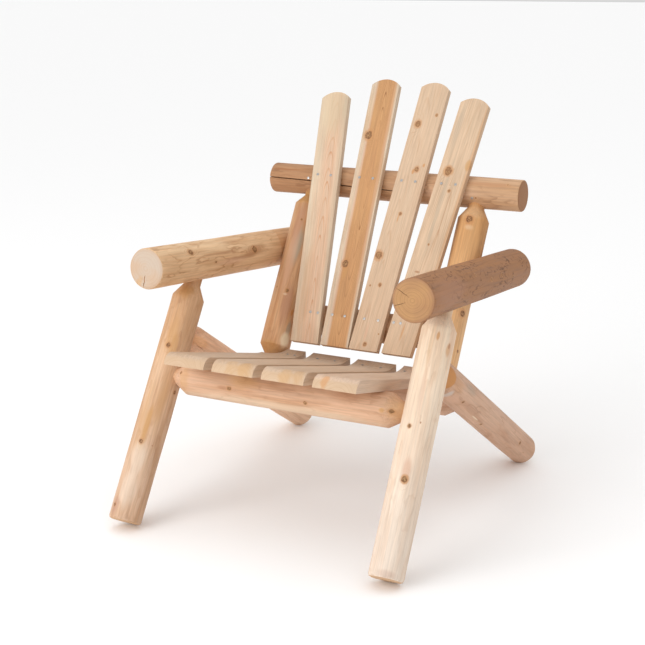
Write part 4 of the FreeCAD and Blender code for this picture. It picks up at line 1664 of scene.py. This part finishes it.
BACK_BOARDS = Boards((
    SawnBoard("back_slat_1", "pale_board", PINK_BOARD_WOOD, 21.0,
              stains=(Stain(0.636, -2, 0.030, 0.080, (0.62, 0.50, 0.33), 0.55, 0.5, 0.8),
                      Stain(0.157, 14, 0.010, 0.110, ORANGE, 0.18, 0.6, 1.2)),
              pith_depth=0.005, pith_shift=-0.008),
    SawnBoard("back_slat_2", "heart_board", HEART_BOARD_WOOD, 22.0,
              (Knot(0.554, 19, 0.0085), Knot(0.212, 13, 0.0075)),
              (Stain(0.330, 22, 0.003, 0.360, PINK, 0.45, 0.5, 0.9),
               Stain(0.400, -29, 0.003, 0.330, PINK, 0.40, 0.5, 0.9),
               Stain(0.192, 10, 0.006, 0.020, GOLDEN, 0.35, 0.5, 0.9)),
              pith_depth=-0.020, pith_shift=-0.006),
    SawnBoard("back_slat_3", "pale_board", PALE_BOARD_WOOD, 23.0,
              (Knot(0.590, 20, 0.0065), Knot(0.618, -23, 0.0028), Knot(0.472, -10, 0.0050),
               Knot(0.353, 0, 0.0032), Knot(0.241, 26, 0.0078), Knot(0.168, 1, 0.0034),
               Knot(0.163, 26, 0.0016), Knot(0.017, -3, 0.0036), Knot(0.048, -31, 0.0013)),
              (Stain(0.484, -26, 0.0030, 0.0050, ORANGE, 0.75, 0.3, 0.8),
               Stain(0.465, -2, 0.0030, 0.0060, ORANGE, 0.75, 0.3, 0.8),
               Stain(0.341, 3, 0.0016, 0.0100, ORANGE, 0.70, 0.3, 0.8),
               Stain(0.050, 2, 0.0030, 0.0200, PINK, 0.50, 0.5, 0.9)),
              pith_depth=0.012, pith_shift=0.012),
    SawnBoard("back_slat_4", "pale_board", GREY_BOARD_WOOD, 24.0,
              (Knot(0.475, 14, 0.0080), Knot(0.425, -4, 0.0028), Knot(0.284, 4, 0.0018)),
              (Stain(0.497, -31, 0.0070, 0.0140, GOLDEN, 0.60, 0.3, 0.5),
               Stain(0.475, 14, 0.0130, 0.0110, GOLDEN, 0.35, 0.3, 0.5),
               Stain(0.590, 24, 0.0080, 0.0650, BLUE_GREY, 0.35, 0.5, 0.9),
               Stain(0.380, 8, 0.0045, 0.1200, BLUE_GREY, 0.35, 0.5, 1.2),
               Stain(0.351, -10, 0.0016, 0.0900, RUST, 0.35, 0.5, 1.2),
               Stain(0.450, -34, 0.0030, 0.2600, ORANGE, 0.35, 0.5, 0.9),
               Stain(0.214, -26, 0.0120, 0.0090, GOLDEN, 0.35, 0.4, 0.6),
               Stain(0.212, 10, 0.0070, 0.0030, RUST, 0.65, 0.4, 0.8),
               Stain(0.060, -1, 0.0030, 0.0200, ORANGE, 0.50, 0.5, 0.9)),
              pith_depth=0.014, pith_shift=-0.010),
))
SEAT_BOARDS = Boards((
    SawnBoard("seat_slat_1", "seat_board", SEAT_WOOD, 31.0, pith_depth=0.050, pith_shift=0.01),
    SawnBoard("seat_slat_2", "seat_board", SEAT_WOOD, 32.0,
              stains=(Stain(0.004, -26, 0.016, 0.020, GOLDEN, 0.45, 0.4, 1.2),
                      Stain(0.010, 6, 0.014, 0.016, GOLDEN, 0.30, 0.4, 1.2)),
              pith_depth=0.040, pith_shift=-0.02),
    SawnBoard("seat_slat_3", "seat_board", SEAT_WOOD, 33.0,
              stains=(Stain(0.004, -4, 0.014, 0.018, GOLDEN, 0.40, 0.4, 1.2),
                      Stain(0.010, -34, 0.012, 0.016, GOLDEN, 0.30, 0.4, 1.2)),
              pith_depth=0.036, pith_shift=0.02),
    SawnBoard("seat_slat_4", "seat_board", SEAT_WOOD, 34.0,
              stains=(Stain(0.006, 33, 0.010, 0.016, ORANGE, 0.60, 0.3, 0.8),),
              low_tint=(1.12, 1.12, 1.16), high_tint_and_shade=(1.12, 1.12, 1.16), pith_depth=0.045),
))
SCREWS = tuple(DeckScrews(node) for node in ("back_slat_screws", "seat_slat_screws",
                                             "rail_lock_screws"))


def main() -> None:
    """Build the chair's looks in order, then the studio."""
    logging.basicConfig(level=logging.INFO, format="%(name)s: %(message)s")
    bpy.context.scene.view_settings.view_transform = "Standard"
    for group in (FRAME_LOGS, BACK_BOARDS, SEAT_BOARDS):
        for piece in group.build():
            log.info("%s has %d faces", piece.name, len(piece.data.polygons))
    steel = Steel().mix()
    for screws in SCREWS:
        piece = screws.build(steel)
        log.info("%s has %d faces", piece.name, len(piece.data.polygons))
    Studio().build()


if __name__ == "__main__":
    main()
